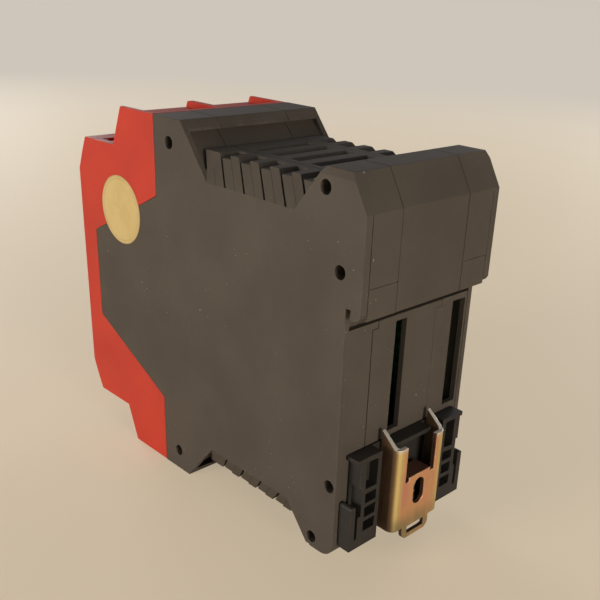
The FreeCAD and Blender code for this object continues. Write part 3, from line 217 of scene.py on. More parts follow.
class Graph(Nodes):
    """Node graph of one material, with the object's coordinates in metres."""

    def __init__(self, name: str) -> None:
        """Start a material with an output and a Principled shader.

        Args:
            name: Name of the material.
        """
        self.material = bpy.data.materials.new(name)
        self.material.use_nodes = True
        super().__init__(self.material.node_tree)
        self.output = self.node("ShaderNodeOutputMaterial")
        self.shader = self.node("ShaderNodeBsdfPrincipled")
        self.feed(self.output.inputs["Surface"], self.shader.outputs[0])
        self.place = self.node("ShaderNodeTexCoord").outputs["Object"]

    def scaled(self, factors: tuple[float, float, float]) -> Any:
        """Return the object's coordinates multiplied by a factor on each axis."""
        node = self.node(
            "ShaderNodeVectorMath", {"operation": "MULTIPLY"}, {0: self.place, 1: factors}
        )
        return node.outputs[0]

    def axes(self) -> tuple[Value, Value, Value]:
        """Return the object's X, Y and Z in metres."""
        split = self.node("ShaderNodeSeparateXYZ", None, {0: self.place})
        return tuple(Value(self, split.outputs[index]) for index in range(3))

    def noise(
        self,
        size: float,
        detail: float = 2.0,
        rough: float = 0.5,
        stretch: tuple[float, float, float] = (1.0, 1.0, 1.0),
        twist: float = 0.0,
    ) -> Value:
        """Return soft noise.

        Args:
            size: Feature size in metres.
            detail: Octaves.
            rough: Strength of the finer octaves.
            stretch: Length of the features along each axis.
            twist: Distortion.

        Returns:
            The noise, about 0 to 1.
        """
        vector = self.scaled(tuple(1.0 / part for part in stretch))
        sockets = {"Vector": vector, "Scale": 1.0 / size, "Detail": detail}
        sockets |= {"Roughness": rough, "Distortion": twist}
        node = self.node("ShaderNodeTexNoise", None, sockets)
        return Value(self, node.outputs["Fac"])

    def cells(self, size: float) -> Value:
        """Return the distance to scattered points a given size apart, in cell widths."""
        sockets = {"Vector": self.place, "Scale": 1.0 / size}
        return Value(self, self.node("ShaderNodeTexVoronoi", None, sockets).outputs["Distance"])

    def wave(self, turns: Value) -> Value:
        """Return a smooth wave between 0 and 1 that repeats each time the value grows by 1."""
        return (turns * (2.0 * math.pi)).sine() * 0.5 + 0.5

    def facing(self, axis: int) -> Value:
        """Return the part of the surface's normal along one of the object's axes.

        Args:
            axis: Number of the axis.

        Returns:
            The part, from -1 to 1.
        """
        geometry = self.node("ShaderNodeNewGeometry")
        split = self.node("ShaderNodeSeparateXYZ", None, {0: geometry.outputs["Normal"]})
        return Value(self, split.outputs[axis])

    def edge_wear_and_highlight(self, radius: float) -> Value:
        """Find the sharp edges, by how far a rounded normal turns from the plain one.

        Args:
            radius: Reach of the wear and painted highlight from an edge in metres.

        Returns:
            1 along sharp edges and 0 on open faces.
        """
        bevel = self.node("ShaderNodeBevel", {"samples": 4}, {"Radius": radius})
        geometry = self.node("ShaderNodeNewGeometry")
        dot = self.node(
            "ShaderNodeVectorMath",
            {"operation": "DOT_PRODUCT"},
            {0: bevel.outputs[0], 1: geometry.outputs["Normal"]},
        )
        return (1.0 - Value(self, dot.outputs["Value"])).ramp(0.0, 0.28)

    def bump(self, height: Any, depth: float, strength: float) -> Any:
        """Return a normal from a height field and a depth in metres."""
        sockets = {"Height": height, "Distance": depth, "Strength": strength}
        return self.node("ShaderNodeBump", None, sockets).outputs[0]

    def finish(self, **sockets: Any) -> bpy.types.Material:
        """Feed the shader's sockets.

        Args:
            sockets: Values or links by socket name, with underscores for spaces.

        Returns:
            The material.
        """
        for key, entry in sockets.items():
            self.feed(self.shader.inputs[key.replace("_", " ")], entry)
        return self.material


def rgb(red: float, green: float, blue: float) -> tuple[float, float, float, float]:
    """Turn display values into a linear colour.

    Args:
        red: Red, 0 to 255.
        green: Green, 0 to 255.
        blue: Blue, 0 to 255.

    Returns:
        The colour with full alpha.
    """

    def linear(part: float) -> float:
        """Undo the display curve for one channel."""
        part /= 255.0
        return part / 12.92 if part <= 0.04045 else ((part + 0.055) / 1.055) ** 2.4

    return (linear(red), linear(green), linear(blue), 1.0)


# Finishes ----------------------------------------------------------------------------------


@dataclass(frozen=True)
class JointShade:
    """Painted shade: dark hairlines in the gaps beside the middle frame and at the louvre steps.

    The frame's joints stand at one distance on each side, and step inward or outward in the
    rear wall. A louvre step is where y - lean * (depth below the end - drop), less the place
    of the first step, is a whole number of pitches.
    """

    # Colour of the painted shade in the gaps.
    colour: tuple = rgb(22, 20, 18)
    frame: float = 11.27 * MM
    wall_right: float = 13.1 * MM
    wall_left: float = 9.0 * MM
    wall_span: tuple = (30.6 * MM, 61.0 * MM)
    wall_front: float = 44.0 * MM
    middle: float = 49.5 * MM
    lean: float = 0.9
    drop: float = 6.3 * MM
    first: float = 7.45 * MM
    pitch: float = 7.0 * MM
    rib_depth: tuple = (6.0 * MM, 13.05 * MM)
    rib_span: tuple = (3.4 * MM, 34.0 * MM)
    rib_side: float = 11.5 * MM
    frame_line: tuple = (0.06 * MM, 0.14 * MM)
    rib_line: tuple = (0.05 * MM, 0.13 * MM)
    frame_dark: float = 0.75
    rib_dark: float = 0.7

    def lines(self, graph: Graph) -> Value:
        """Work out where the painted shade of the hairlines falls.

        Args:
            graph: Graph that the maths goes into.

        Returns:
            The darkness, 0 away from the lines.
        """
        across, along, up = graph.axes()
        low, high = self.wall_span
        wall = (up > low) * (up < high) * (along > self.wall_front)
        right = abs(across - (wall * (self.wall_right - self.frame) + self.frame))
        left = abs(across + (wall * (self.wall_left - self.frame) + self.frame))
        frame_joint = 1.0 - right.lowest(left).ramp(*self.frame_line)
        depth = self.middle - abs(up - self.middle)
        leaning = along - (depth - self.drop) * self.lean
        place = (leaning - self.first) * (1.0 / self.pitch)
        place = abs(place - place.rounded()) * self.pitch
        shallow, deep = self.rib_depth
        front, rear = self.rib_span
        ribs = (depth > shallow) * (depth < deep) * (abs(across) > self.rib_side)
        ribs = ribs * (along > front) * (along < rear)
        steps = (1.0 - place.ramp(*self.rib_line)) * ribs
        return (frame_joint * self.frame_dark).highest(steps * self.rib_dark)


@dataclass(frozen=True)
class MouldedBlack:
    """Matt black glass-filled plastic: pale flecks, faint rubs, edges with wear and painted
    highlight.
    """

    name: str = "housing_black"
    colour: tuple = rgb(80, 72, 63)
    second: tuple = rgb(72, 65, 57)
    # Pale colour of rubs, scratches and edges; on the edges it is part painted highlight.
    wear_and_highlight: tuple = rgb(122, 112, 98)
    fleck: tuple = rgb(190, 182, 168)
    fleck_share: float = 0.57
    rough: float = 0.56
    # Painted shade in the gaps of the frame joints and louvre steps; None leaves it out.
    joints: JointShade | None = JointShade()

    def flecks(self, graph: Graph) -> Value:
        """Scatter small ragged pale flecks, gathered in loose drifts.

        Args:
            graph: Graph that the maths goes into.

        Returns:
            The strength of the flecks, 0 to 1.
        """
        ragged = graph.noise(0.0011, 3.0, 0.7)
        drift = graph.noise(0.022, 3.0, 0.6).ramp(self.fleck_share - 0.12, self.fleck_share + 0.06)
        coarse = (graph.cells(0.0044) + ragged * 0.12 < 0.100) * drift
        fine = (graph.cells(0.0017) + ragged * 0.12 < 0.124) * drift
        return (coarse * 0.62 + fine * 0.42).clamped()

    def build(self) -> bpy.types.Material:
        """Build the material.

        Returns:
            The material.
        """
        graph = Graph(self.name)
        cloud = graph.noise(0.024, 4.0, 0.6)
        grain = graph.noise(0.0007, 3.0, 0.7)
        rub = graph.noise(0.009, 5.0, 0.78, (1.0, 0.4, 1.9), 0.7).ramp(0.56, 0.78)
        scratch = graph.noise(0.0005, 2.0, 0.5, (1.0, 1.4, 26.0), 0.25).ramp(0.70, 0.78)
        scratch = scratch * graph.noise(0.017, 2.0).ramp(0.54, 0.66)
        # Paler edges: part wear, part painted highlight where an edge catches light.
        edge = graph.edge_wear_and_highlight(0.0005) * graph.noise(0.0035, 4.0, 0.7).ramp(0.40, 0.72)
        colour = graph.mix(cloud.ramp(0.3, 0.7), self.second, self.colour)
        colour = graph.mix(rub * 0.10 + scratch * 0.20, colour, self.wear_and_highlight)
        colour = graph.mix(edge * 0.42, colour, self.wear_and_highlight)
        # Painted shade in the joint and louvre gaps.
        if self.joints:
            colour = graph.mix(self.joints.lines(graph), colour, self.joints.colour)
        colour = graph.mix(self.flecks(graph), colour, self.fleck)
        normal = graph.bump(grain * 0.7 + scratch * -0.5, 0.00005, 0.4)
        rough = self.rough + grain * 0.10 + rub * 0.08 - edge * 0.08
        return graph.finish(
            Base_Color=colour, Roughness=rough, Normal=normal, Specular_IOR_Level=0.22
        )


@dataclass(frozen=True)
class MouldedRed:
    """Satin red plastic of the hood, slightly paler where it was handled, and on edges by wear and
    painted highlight.
    """

    name: str = "hood_red"
    colour: tuple = rgb(190, 54, 34)
    deep: tuple = rgb(178, 48, 31)
    # Pale colour of handling rubs, dust and edges; on the edges it is part painted highlight.
    rub_and_highlight: tuple = rgb(206, 96, 72)

    def build(self) -> bpy.types.Material:
        """Build the material.

        Returns:
            The material.
        """
        graph = Graph(self.name)
        cloud = graph.noise(0.020, 3.0, 0.55)
        grain = graph.noise(0.0007, 3.0, 0.6)
        rub = graph.noise(0.007, 5.0, 0.7, (1.0, 0.5, 1.8), 0.5).ramp(0.56, 0.80)
        dust = (graph.cells(0.0040) + grain * 0.1 < 0.10) * graph.noise(0.02, 2.0).ramp(0.5, 0.62)
        # Paler edges: part wear, part painted highlight.
        edge = graph.edge_wear_and_highlight(0.0004)
        colour = graph.mix(cloud.ramp(0.3, 0.7), self.deep, self.colour)
        colour = graph.mix((rub * 0.10 + edge * 0.26 + dust * 0.35).clamped(), colour, self.rub_and_highlight)
        normal = graph.bump(grain, 0.00004, 0.3)
        rough = 0.40 + grain * 0.10 + rub * 0.10
        return graph.finish(
            Base_Color=colour, Roughness=rough, Normal=normal, Specular_IOR_Level=0.35
        )


@dataclass(frozen=True)
class Chromated:
    """Yellow passivated sheet: gold bends, rose face, pale edges of wear and painted highlight,
    painted shade on sides.
    """

    name: str = "clip_steel"
    gold: tuple = rgb(218, 190, 118)
    rose: tuple = rgb(216, 142, 118)
    orange: tuple = rgb(220, 162, 112)
    olive: tuple = rgb(150, 136, 90)
    # Dark violet colour of the painted shade on the sides and up-facing faces.
    painted_shade: tuple = rgb(92, 62, 56)
    # Pale colour of the prong tips, spots and edges; on the edges it is part painted highlight.
    bare_and_highlight: tuple = rgb(222, 218, 208)
    prong: float = 30.0 * MM
    bend: float = 5.6 * MM
    foot: float = 9.0 * MM

    def build(self) -> bpy.types.Material:
        """Build the material.

        Returns:
            The material.
        """
        graph = Graph(self.name)
        across, _, up = graph.axes()
        drift = graph.noise(0.010, 3.0, 0.55, (1.0, 1.0, 1.5), 0.6)
        streak = graph.noise(0.0012, 3.0, 0.6, (1.0, 1.0, 7.0), 0.3)
        spots = graph.noise(0.0012, 4.0, 0.72)
        bends = abs(across).ramp(self.bend, self.bend + 1.9 * MM)
        low = 1.0 - up.ramp(self.foot, self.foot + 5.0 * MM)
        # Painted shade: faces turned along X, and up-facing faces below the prongs, turn dark
        # violet.
        side = abs(graph.facing(0)).ramp(0.55, 0.95)
        ledge_shade = graph.facing(2).ramp(0.5, 0.9) * (up < self.prong)
        tip = up.ramp(self.prong, self.prong + 1.5 * MM) * (1.0 - side)
        colour = graph.mix(drift.ramp(0.40, 0.62), self.orange, self.rose)
        colour = graph.mix((bends * 0.9 + drift.ramp(0.5, 0.7) * 0.2).clamped(), colour, self.gold)
        colour = graph.mix(low * (drift.ramp(0.35, 0.6) * 0.4 + 0.5), colour, self.olive)
        colour = graph.mix(side * 0.86 + streak.ramp(0.5, 0.8) * 0.10, colour, self.painted_shade)
        colour = graph.mix(ledge_shade * 0.8, colour, self.painted_shade)
        colour = graph.mix(tip * 0.8, colour, self.bare_and_highlight)
        colour = graph.mix(spots.ramp(0.60, 0.74) * 0.22, colour, self.bare_and_highlight)
        # Paler edges: part wear, part painted highlight.
        colour = graph.mix(graph.edge_wear_and_highlight(0.00022) * 0.70, colour, self.bare_and_highlight)
        normal = graph.bump(streak + spots * 0.5, 0.00003, 0.35)
        rough = 0.32 + spots * 0.14 + streak * 0.06
        return graph.finish(Base_Color=colour, Metallic=0.62, Roughness=rough, Normal=normal)


@dataclass(frozen=True)
class Plated:
    """Bright or dark metal with a fine drawn grain and dull spots."""

    name: str
    colour: tuple
    second: tuple
    rough: float = 0.28
    metal: float = 0.92

    def build(self) -> bpy.types.Material:
        """Build the material.

        Returns:
            The material.
        """
        graph = Graph(self.name)
        dull = graph.noise(0.0022, 4.0, 0.65)
        drawn = graph.noise(0.0003, 2.0, 0.5, (1.0, 8.0, 1.0))
        colour = graph.mix(dull.ramp(0.35, 0.7), self.colour, self.second)
        normal = graph.bump(drawn + dull * 0.4, 0.00002, 0.35)
        rough = self.rough + dull * 0.16 + drawn * 0.05
        return graph.finish(Base_Color=colour, Metallic=self.metal, Roughness=rough, Normal=normal)


@dataclass(frozen=True)
class Moulding:
    """Smooth plastic, resin or lacquer of an inner part, with haze and handling marks."""

    name: str
    colour: tuple
    second: tuple
    size: float = 0.006
    rough: float = 0.38
    coat: float = 0.0

    def build(self) -> bpy.types.Material:
        """Build the material.

        Returns:
            The material.
        """
        graph = Graph(self.name)
        cloud = graph.noise(self.size, 4.0, 0.6)
        grain = graph.noise(0.0005, 2.0)
        mark = graph.noise(0.003, 5.0, 0.75, (1.0, 1.0, 2.0), 0.6).ramp(0.62, 0.74)
        colour = graph.mix((cloud.ramp(0.3, 0.7) + mark * 0.3).clamped(), self.colour, self.second)
        normal = graph.bump(grain + cloud * 0.3, 0.00003, 0.3)
        rough = self.rough + cloud * 0.10 + mark * 0.10
        return graph.finish(
            Base_Color=colour, Roughness=rough, Normal=normal, Coat_Weight=self.coat
        )


@dataclass(frozen=True)
class Laminations:
    """Stacked core sheets: fine dark joints across the stack, rust bloom on the cut edges."""

    name: str = "core_iron"
    colour: tuple = rgb(104, 102, 104)
    joint: tuple = rgb(52, 48, 46)
    rust: tuple = rgb(122, 88, 66)
    sheet: float = 0.0005

    def build(self) -> bpy.types.Material:
        """Build the material.

        Returns:
            The material.
        """
        graph = Graph(self.name)
        across = graph.axes()[0]
        wave = graph.wave(across * (1.0 / self.sheet))
        bloom = graph.noise(0.003, 4.0, 0.7).ramp(0.52, 0.72)
        colour = graph.mix(wave * 0.75, self.colour, self.joint)
        colour = graph.mix(bloom * 0.45, colour, self.rust)
        normal = graph.bump(wave * -1.0, 0.00006, 0.6)
        return graph.finish(
            Base_Color=colour, Metallic=0.6, Roughness=0.42 + bloom * 0.2, Normal=normal
        )


@dataclass(frozen=True)
class BoardLacquer:
    """Green board: copper tracks under the lacquer, fibre weave and bright pads."""

    name: str = "board_green"
    colour: tuple = rgb(30, 78, 52)
    track: tuple = rgb(44, 100, 66)
    pad: tuple = rgb(196, 192, 178)
    pitch: float = 0.00254
    threads: float = 1800.0

    def build(self) -> bpy.types.Material:
        """Build the material.

        Returns:
            The material.
        """
        graph = Graph(self.name)
        _, along, up = graph.axes()
        route = graph.noise(0.016, 1.0)
        lanes = graph.wave(up * (1.0 / self.pitch) + route.ramp(0.45, 0.55) * 0.5)
        tracks = lanes.ramp(0.55, 0.62)
        pads = graph.wave(along * (1.0 / self.pitch)) * graph.wave(up * (1.0 / self.pitch))
        pads = pads.ramp(0.88, 0.94) * graph.noise(0.009, 1.0).ramp(0.54, 0.56)
        weave = graph.wave(along * self.threads) * graph.wave(up * self.threads)
        colour = graph.mix(tracks * 0.8, self.colour, self.track)
        colour = graph.mix(pads, colour, self.pad)
        normal = graph.bump(tracks + pads + weave * 0.2, 0.00003, 0.5)
        return graph.finish(
            Base_Color=colour, Roughness=0.28 + weave * 0.08, Normal=normal, Coat_Weight=0.3
        )


@dataclass(frozen=True)
class SealPaper:
    """Faded yellow sealing label: soft fibres, a fine plain ring, a darker rim and pale scuffs."""

    name: str = "label_cream"
    colour: tuple = rgb(202, 178, 118)
    faded: tuple = rgb(188, 160, 100)
    ring: tuple = rgb(138, 112, 72)
    scuffed: tuple = rgb(216, 200, 160)
    radius: float = 0.0094
    ring_share: float = 0.90

    def build(self) -> bpy.types.Material:
        """Build the material.

        Returns:
            The material.
        """
        graph = Graph(self.name)
        _, along, up = graph.axes()
        low, high = (Vector(corner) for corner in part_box("seal_label"))
        middle = (low + high) / 2
        out = ((along - middle.y).power(2.0) + (up - middle.z).power(2.0)).power(0.5)
        share = out * (1.0 / self.radius)
        line = 1.0 - abs(share - self.ring_share).ramp(0.006, 0.016)
        rim = share.ramp(0.94, 1.0)
        cloud = graph.noise(0.005, 4.0, 0.6)
        fibre = graph.noise(0.0005, 3.0, 0.7, (1.0, 2.5, 1.0))
        scuff = graph.noise(0.0024, 5.0, 0.75).ramp(0.58, 0.72)
        colour = graph.mix(cloud.ramp(0.35, 0.7) * 0.6 + fibre * 0.2, self.colour, self.faded)
        colour = graph.mix(line * 0.35 + rim * 0.4, colour, self.ring)
        colour = graph.mix(scuff * 0.12, colour, self.scuffed)
        normal = graph.bump(fibre + scuff * 0.4, 0.00002, 0.4)
        return graph.finish(Base_Color=colour, Roughness=0.40 + fibre * 0.12, Normal=normal)


@dataclass(frozen=True)
class ClearPane:
    """Lightly smoked clear pane of the indicator window."""

    name: str = "lens_clear"
    colour: tuple = rgb(206, 204, 196)

    def build(self) -> bpy.types.Material:
        """Build the material.

        Returns:
            The material.
        """
        graph = Graph(self.name)
        haze = graph.noise(0.004, 4.0, 0.7)
        return graph.finish(
            Base_Color=self.colour, Roughness=0.06 + haze * 0.10, Alpha=0.26 + haze * 0.16
        )


FINISHES = (
    MouldedBlack(),
    MouldedBlack(
        "foot_black", rgb(48, 45, 41), rgb(42, 39, 36), rgb(98, 90, 80), rgb(150, 144, 134),
        fleck_share=0.70, rough=0.44, joints=None,
    ),
    MouldedBlack(
        "terminal_grey", rgb(60, 60, 60), rgb(50, 50, 50), rgb(104, 102, 98), rgb(150, 148, 142),
        fleck_share=0.72, rough=0.45, joints=None,
    ),
    MouldedRed(),
    Chromated(),
    Plated("zinc_steel", rgb(196, 196, 190), rgb(160, 160, 154)),
    Plated("spring_steel", rgb(158, 156, 150), rgb(112, 110, 106), 0.24),
    BoardLacquer(),
    Moulding("relay_case", rgb(222, 218, 206), rgb(202, 196, 182), 0.008, 0.40),
    Laminations(),
    Moulding("coil_tape", rgb(208, 166, 62), rgb(178, 134, 44), 0.004, 0.26, 0.4),
    Moulding("can_sleeve", rgb(34, 42, 92), rgb(24, 30, 70), 0.004, 0.26, 0.3),
    Moulding("fuse_body", rgb(126, 48, 38), rgb(98, 36, 28), 0.003, 0.34),
    Moulding("varistor_blue", rgb(46, 96, 170), rgb(34, 76, 144), 0.003, 0.24, 0.4),
    Moulding("indicator", rgb(112, 184, 96), rgb(86, 156, 74), 0.002, 0.20, 0.5),
    ClearPane(),
    SealPaper(),
)


# Pieces ------------------------------------------------------------------------------------


@dataclass
class Wardrobe:
    """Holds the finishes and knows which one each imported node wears."""

    materials: dict[str, bpy.types.Material] = field(default_factory=dict)
    slots: dict[str, str] = field(default_factory=dict)

    def dress(self) -> None:
        """Build every finish and put it on the nodes of its slot."""
        self.materials = {finish.name: finish.build() for finish in FINISHES}
        rows = frame["record"]["subparts"]
        self.slots = {row["node"]: row["material_slot"] for row in rows}
        for name, node in frame["nodes"].items():
            node.data.materials.clear()
            node.data.materials.append(self.materials[self.slots[name]])
        LOG.info("dressed %d nodes", len(self.slots))

    def add(self, mesh: bpy.types.Mesh, name: str, body: Body, slot: str) -> bpy.types.Object:
        """Link a mesh as a new piece that rides on a body.

        Args:
            mesh: Finished mesh, in the frame's coordinates.
            name: Name of the piece.
            body: Body that carries it.
            slot: Material slot that it takes its finish from.

        Returns:
            The new object.
        """
        mesh.materials.clear()
        mesh.materials.append(self.materials[slot])
        piece = bpy.data.objects.new(name, mesh)
        bpy.context.scene.collection.objects.link(piece)
        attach(piece, body.value)
        LOG.info("%s: %d faces on %s", name, len(mesh.polygons), body.value)
        return piece


def grid_faces(rows: int, columns: int, closed: bool = False) -> np.ndarray:
    """Return the quads of a grid of points numbered row by row.

    Args:
        rows: Number of rows.
        columns: Number of points in a row.
        closed: Whether the last point of a row joins the first.

    Returns:
        An array of four point numbers for each quad.
    """
    across = columns if closed else columns - 1
    row, column = np.meshgrid(np.arange(rows - 1), np.arange(across), indexing="ij")
    after = (column + 1) % columns
    quads = [row * columns + column, row * columns + after,
             (row + 1) * columns + after, (row + 1) * columns + column]
    return np.stack(quads, axis=-1).reshape(-1, 4)


def turned(radius: np.ndarray, along: np.ndarray, turns: int) -> tuple[np.ndarray, np.ndarray]:
    """Turn a profile round the Y axis: point = (radius * cos(t), along, radius * sin(t)).

    Args:
        radius: Radius at each step of the profile.
        along: Y at each step of the profile.
        turns: Number of points round each circle.

    Returns:
        The points and the quads.
    """
    angle = np.linspace(0.0, 2.0 * np.pi, turns, endpoint=False)
    points = np.stack([
        radius[:, None] * np.cos(angle)[None, :],
        np.repeat(along[:, None], turns, axis=1),
        radius[:, None] * np.sin(angle)[None, :],
    ], axis=-1)
    return points.reshape(-1, 3), grid_faces(radius.size, turns, closed=True)


def repeated(
    points: np.ndarray, quads: np.ndarray, places: np.ndarray
) -> tuple[np.ndarray, np.ndarray]:
    """Repeat a shape at several places: new point = point + place.

    Args:
        points: Points of the shape.
        quads: Faces of the shape.
        places: Where the copies stand.

    Returns:
        The points and quads of all copies.
    """
    offsets = np.arange(len(places))[:, None, None] * len(points)
    return places[:, None, :] + points[None, :, :], (quads[None] + offsets).reshape(-1, 4)


def mesh_of(name: str, points: np.ndarray, quads: np.ndarray) -> bpy.types.Mesh:
    """Make a smooth mesh whose edges stay sharp where they turn by 40 degrees or more.

    Args:
        name: Name of the mesh.
        points: Points in metres.
        quads: Four point numbers for each face.

    Returns:
        The mesh.
    """
    mesh = bpy.data.meshes.new(name)
    mesh.from_pydata(points.reshape(-1, 3).tolist(), [], quads.tolist())
    mesh.set_sharp_from_angle(angle=math.radians(40.0))
    mesh.update()
    return mesh


def read(items: Any, name: str, kind: type = np.float32, width: int = 1) -> np.ndarray:
    """Read one property of all items of a mesh.

    Args:
        items: Points, edges, faces, face corners or the data of an attribute.
        name: Name of the property.
        kind: Type of its numbers.
        width: How many numbers it has for each item.

    Returns:
        One row for each item, or a plain list of numbers where width is 1.
    """
    numbers = np.empty(len(items) * width, kind)
    items.foreach_get(name, numbers)
    return numbers.reshape(-1, width) if width > 1 else numbers


class Facets:
    """Points, edges, faces and face corners of a mesh as arrays.

    Each corner knows its point, its edge and its face. The width of a face is 2 * area /
    outline, which is about its shorter side where it is long and narrow.
    """

    def __init__(self, mesh: bpy.types.Mesh) -> None:
        """Read a mesh.

        Args:
            mesh: Mesh to read.
        """
        self.points = read(mesh.vertices, "co", width=3)
        self.ends = read(mesh.edges, "vertices", np.int32, 2)
        self.vertex = read(mesh.loops, "vertex_index", np.int32)
        self.edge = read(mesh.loops, "edge_index", np.int32)
        self.start = read(mesh.polygons, "loop_start", np.int32)
        self.total = read(mesh.polygons, "loop_total", np.int32)
        self.area = read(mesh.polygons, "area")
        self.normal = read(mesh.polygons, "normal", width=3)
        self.centre = read(mesh.polygons, "center", width=3)
        self.owner = np.repeat(np.arange(len(self.total)), self.total)
        first, last = self.points[self.ends[:, 0]], self.points[self.ends[:, 1]]
        self.length = np.linalg.norm(first - last, axis=1)
        outline = np.zeros(len(self.total))
        np.add.at(outline, self.owner, self.length[self.edge])
        self.width = 2.0 * self.area / np.maximum(outline, 1e-9)

    def corners(self) -> tuple[np.ndarray, np.ndarray]:
        """Measure the angle at every corner of every face.

        Returns:
            The angles, and for each corner the number of the corner before it in its face.
        """
        here = np.arange(len(self.vertex))
        before, after = here - 1, here + 1
        before[self.start] = self.start + self.total - 1
        after[self.start + self.total - 1] = self.start
        place = self.points[self.vertex]
        back, ahead = place[before] - place, place[after] - place
        size = np.linalg.norm(back, axis=1) * np.linalg.norm(ahead, axis=1)
        cosine = (back * ahead).sum(axis=1) / np.maximum(size, 1e-12)
        return np.arccos(np.clip(cosine, -1.0, 1.0)), before

    def bent_corners(self, bend: float, least_face: float, share: float) -> np.ndarray:
        """Find the corners that stand off the plane of their face.

        Args:
            bend: Smallest distance off the plane that counts.
            least_face: Area of the smallest face that counts.
            share: Smallest share of the face's greatest distance that counts.

        Returns:
            The places of these corners.
        """
        offset = self.points[self.vertex] - self.centre[self.owner]
        off = np.abs((offset * self.normal[self.owner]).sum(axis=1))
        most = np.zeros(len(self.total), np.float32)
        np.maximum.at(most, self.owner, off)
        chosen = (off > bend) & (off > most[self.owner] * share)
        chosen &= self.area[self.owner] > least_face
        return self.points[np.unique(self.vertex[chosen])]


@dataclass
class RoundedSolid:
    """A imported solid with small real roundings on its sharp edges."""

    node: str
    body: Body
    radius: float
    steps: int = 3
    smooth: bool = False
    sharp: float = 24.0
    share: float = 0.42
    narrowest: float = 22.0
    most_edges: int = 3
    bend: float = 0.02 * MM
    bend_share: float = 0.6
    least_face: float = 3e-6
    near: float = 2.0
    turns: int = 12
    strip: float = 1.2 * MM

    def welded(self) -> bpy.types.Mesh:
        """Copy the solid's mesh, weld its facets and join the flat ones.

        Returns:
            The new mesh.
        """
        shape = bmesh.new()
        shape.from_mesh(frame["nodes"][self.node].data)
        bmesh.ops.remove_doubles(shape, verts=shape.verts, dist=1e-6)
        bmesh.ops.dissolve_limit(
            shape, angle_limit=math.radians(0.5), verts=shape.verts, edges=shape.edges
        )
        mesh = bpy.data.meshes.new(f"{self.node}_rounded")
        shape.to_mesh(mesh)
        shape.free()
        mesh.set_sharp_from_angle(angle=math.radians(self.sharp))
        if not self.smooth:
            self.flatten(mesh)
        return mesh

    def flatten(self, mesh: bpy.types.Mesh) -> None:
        """Shade every face flat, except the narrow strips that make up a round surface.

        A strip has an edge that isn't sharp, and a width under the widest strip.

        Args:
            mesh: Welded mesh.
        """
        facets = Facets(mesh)
        soft = ~read(mesh.attributes["sharp_edge"].data, "value", bool)
        round_face = np.bincount(facets.owner[soft[facets.edge]], minlength=len(facets.total)) > 0
        mesh.polygons.foreach_set("use_smooth", round_face & (facets.width < self.strip))

    def weigh(self, mesh: bpy.types.Mesh) -> None:
        """Give each sharp edge the part of the rounding that its surroundings have room for.

        The room at an edge is a share of the shortest edge at its ends, and of the width of
        its narrower face. The weight is room / radius, held between 0 and 1, and 0 where more
        than three sharp edges meet or a corner is acute.

        Args:
            mesh: Welded mesh.
        """
        facets = Facets(mesh)
        ends = facets.ends
        shortest = np.full(len(facets.points), np.inf)
        np.minimum.at(shortest, ends.ravel(), np.repeat(facets.length, 2))
        room = shortest[ends].min(axis=1)
        np.minimum.at(room, facets.edge, facets.width[facets.owner])
        angle, before = facets.corners()
        tight = angle < math.radians(self.narrowest)
        room[facets.edge[tight]] = 0.0
        room[facets.edge[before[tight]]] = 0.0
        sharp = read(mesh.attributes["sharp_edge"].data, "value", bool)
        meeting = np.bincount(ends[sharp].ravel(), minlength=len(facets.points))
        plain = (meeting[ends] <= self.most_edges).all(axis=1)
        weight = np.clip(room * self.share / self.radius, 0.0, 1.0) * sharp * plain
        held = mesh.attributes.new("bevel_weight_edge", "FLOAT", "EDGE")
        held.data.foreach_set("value", weight.astype(np.float32))

    def settle(self, piece: bpy.types.Object) -> None:
        """Take the rounding off the edges where it would bend a flat face.

        The rounded mesh is worked out a few times. Each time, a corner that stands off the
        plane of its face marks the welded points near it, and their edges lose their weight.

        Args:
            piece: Piece with the rounding on it.
        """
        mesh = piece.data
        ends = read(mesh.edges, "vertices", np.int32, 2)
        welded = read(mesh.vertices, "co", width=3)
        held = mesh.attributes["bevel_weight_edge"].data
        weight = read(held, "value")
        for _ in range(self.turns):
            evaluated = piece.evaluated_get(bpy.context.evaluated_depsgraph_get())
            facets = Facets(evaluated.to_mesh())
            evaluated.to_mesh_clear()
            bent = facets.bent_corners(self.bend, self.least_face, self.bend_share)
            if not len(bent):
                break
            gap = np.linalg.norm(welded[:, None, :] - bent[None, :, :], axis=2).min(axis=1)
            marked = gap < self.radius * self.near
            weight[marked[ends].any(axis=1)] = 0.0
            held.foreach_set("value", weight)
            mesh.update_tag()
            piece.update_tag()
            bpy.context.view_layer.update()
        LOG.info("%s: %d edges rounded", piece.name, int((weight > 0.0).sum()))

    def build(self, wardrobe: Wardrobe, reshape: Callable | None = None) -> bpy.types.Object:
        """Make the rounded copy and let it replace the node.

        Args:
            wardrobe: Finishes, and where the piece is added.
            reshape: Change to the welded mesh, made before the rounding.

        Returns:
            The new piece.
        """
        mesh = self.welded()
        if reshape:
            reshape(mesh)
        self.weigh(mesh)
        piece = wardrobe.add(mesh, f"{self.node}_rounded", self.body, wardrobe.slots[self.node])
        bevel = piece.modifiers.new("rounding", "BEVEL")
        bevel.width = self.radius
        bevel.segments = self.steps
        bevel.limit_method = "WEIGHT"
        bevel.use_clamp_overlap = False
        if self.smooth:
            normals = piece.modifiers.new("flat_faces", "WEIGHTED_NORMAL")
            normals.weight = 100
            normals.keep_sharp = True
        self.settle(piece)
        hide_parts(self.node)
        return piece


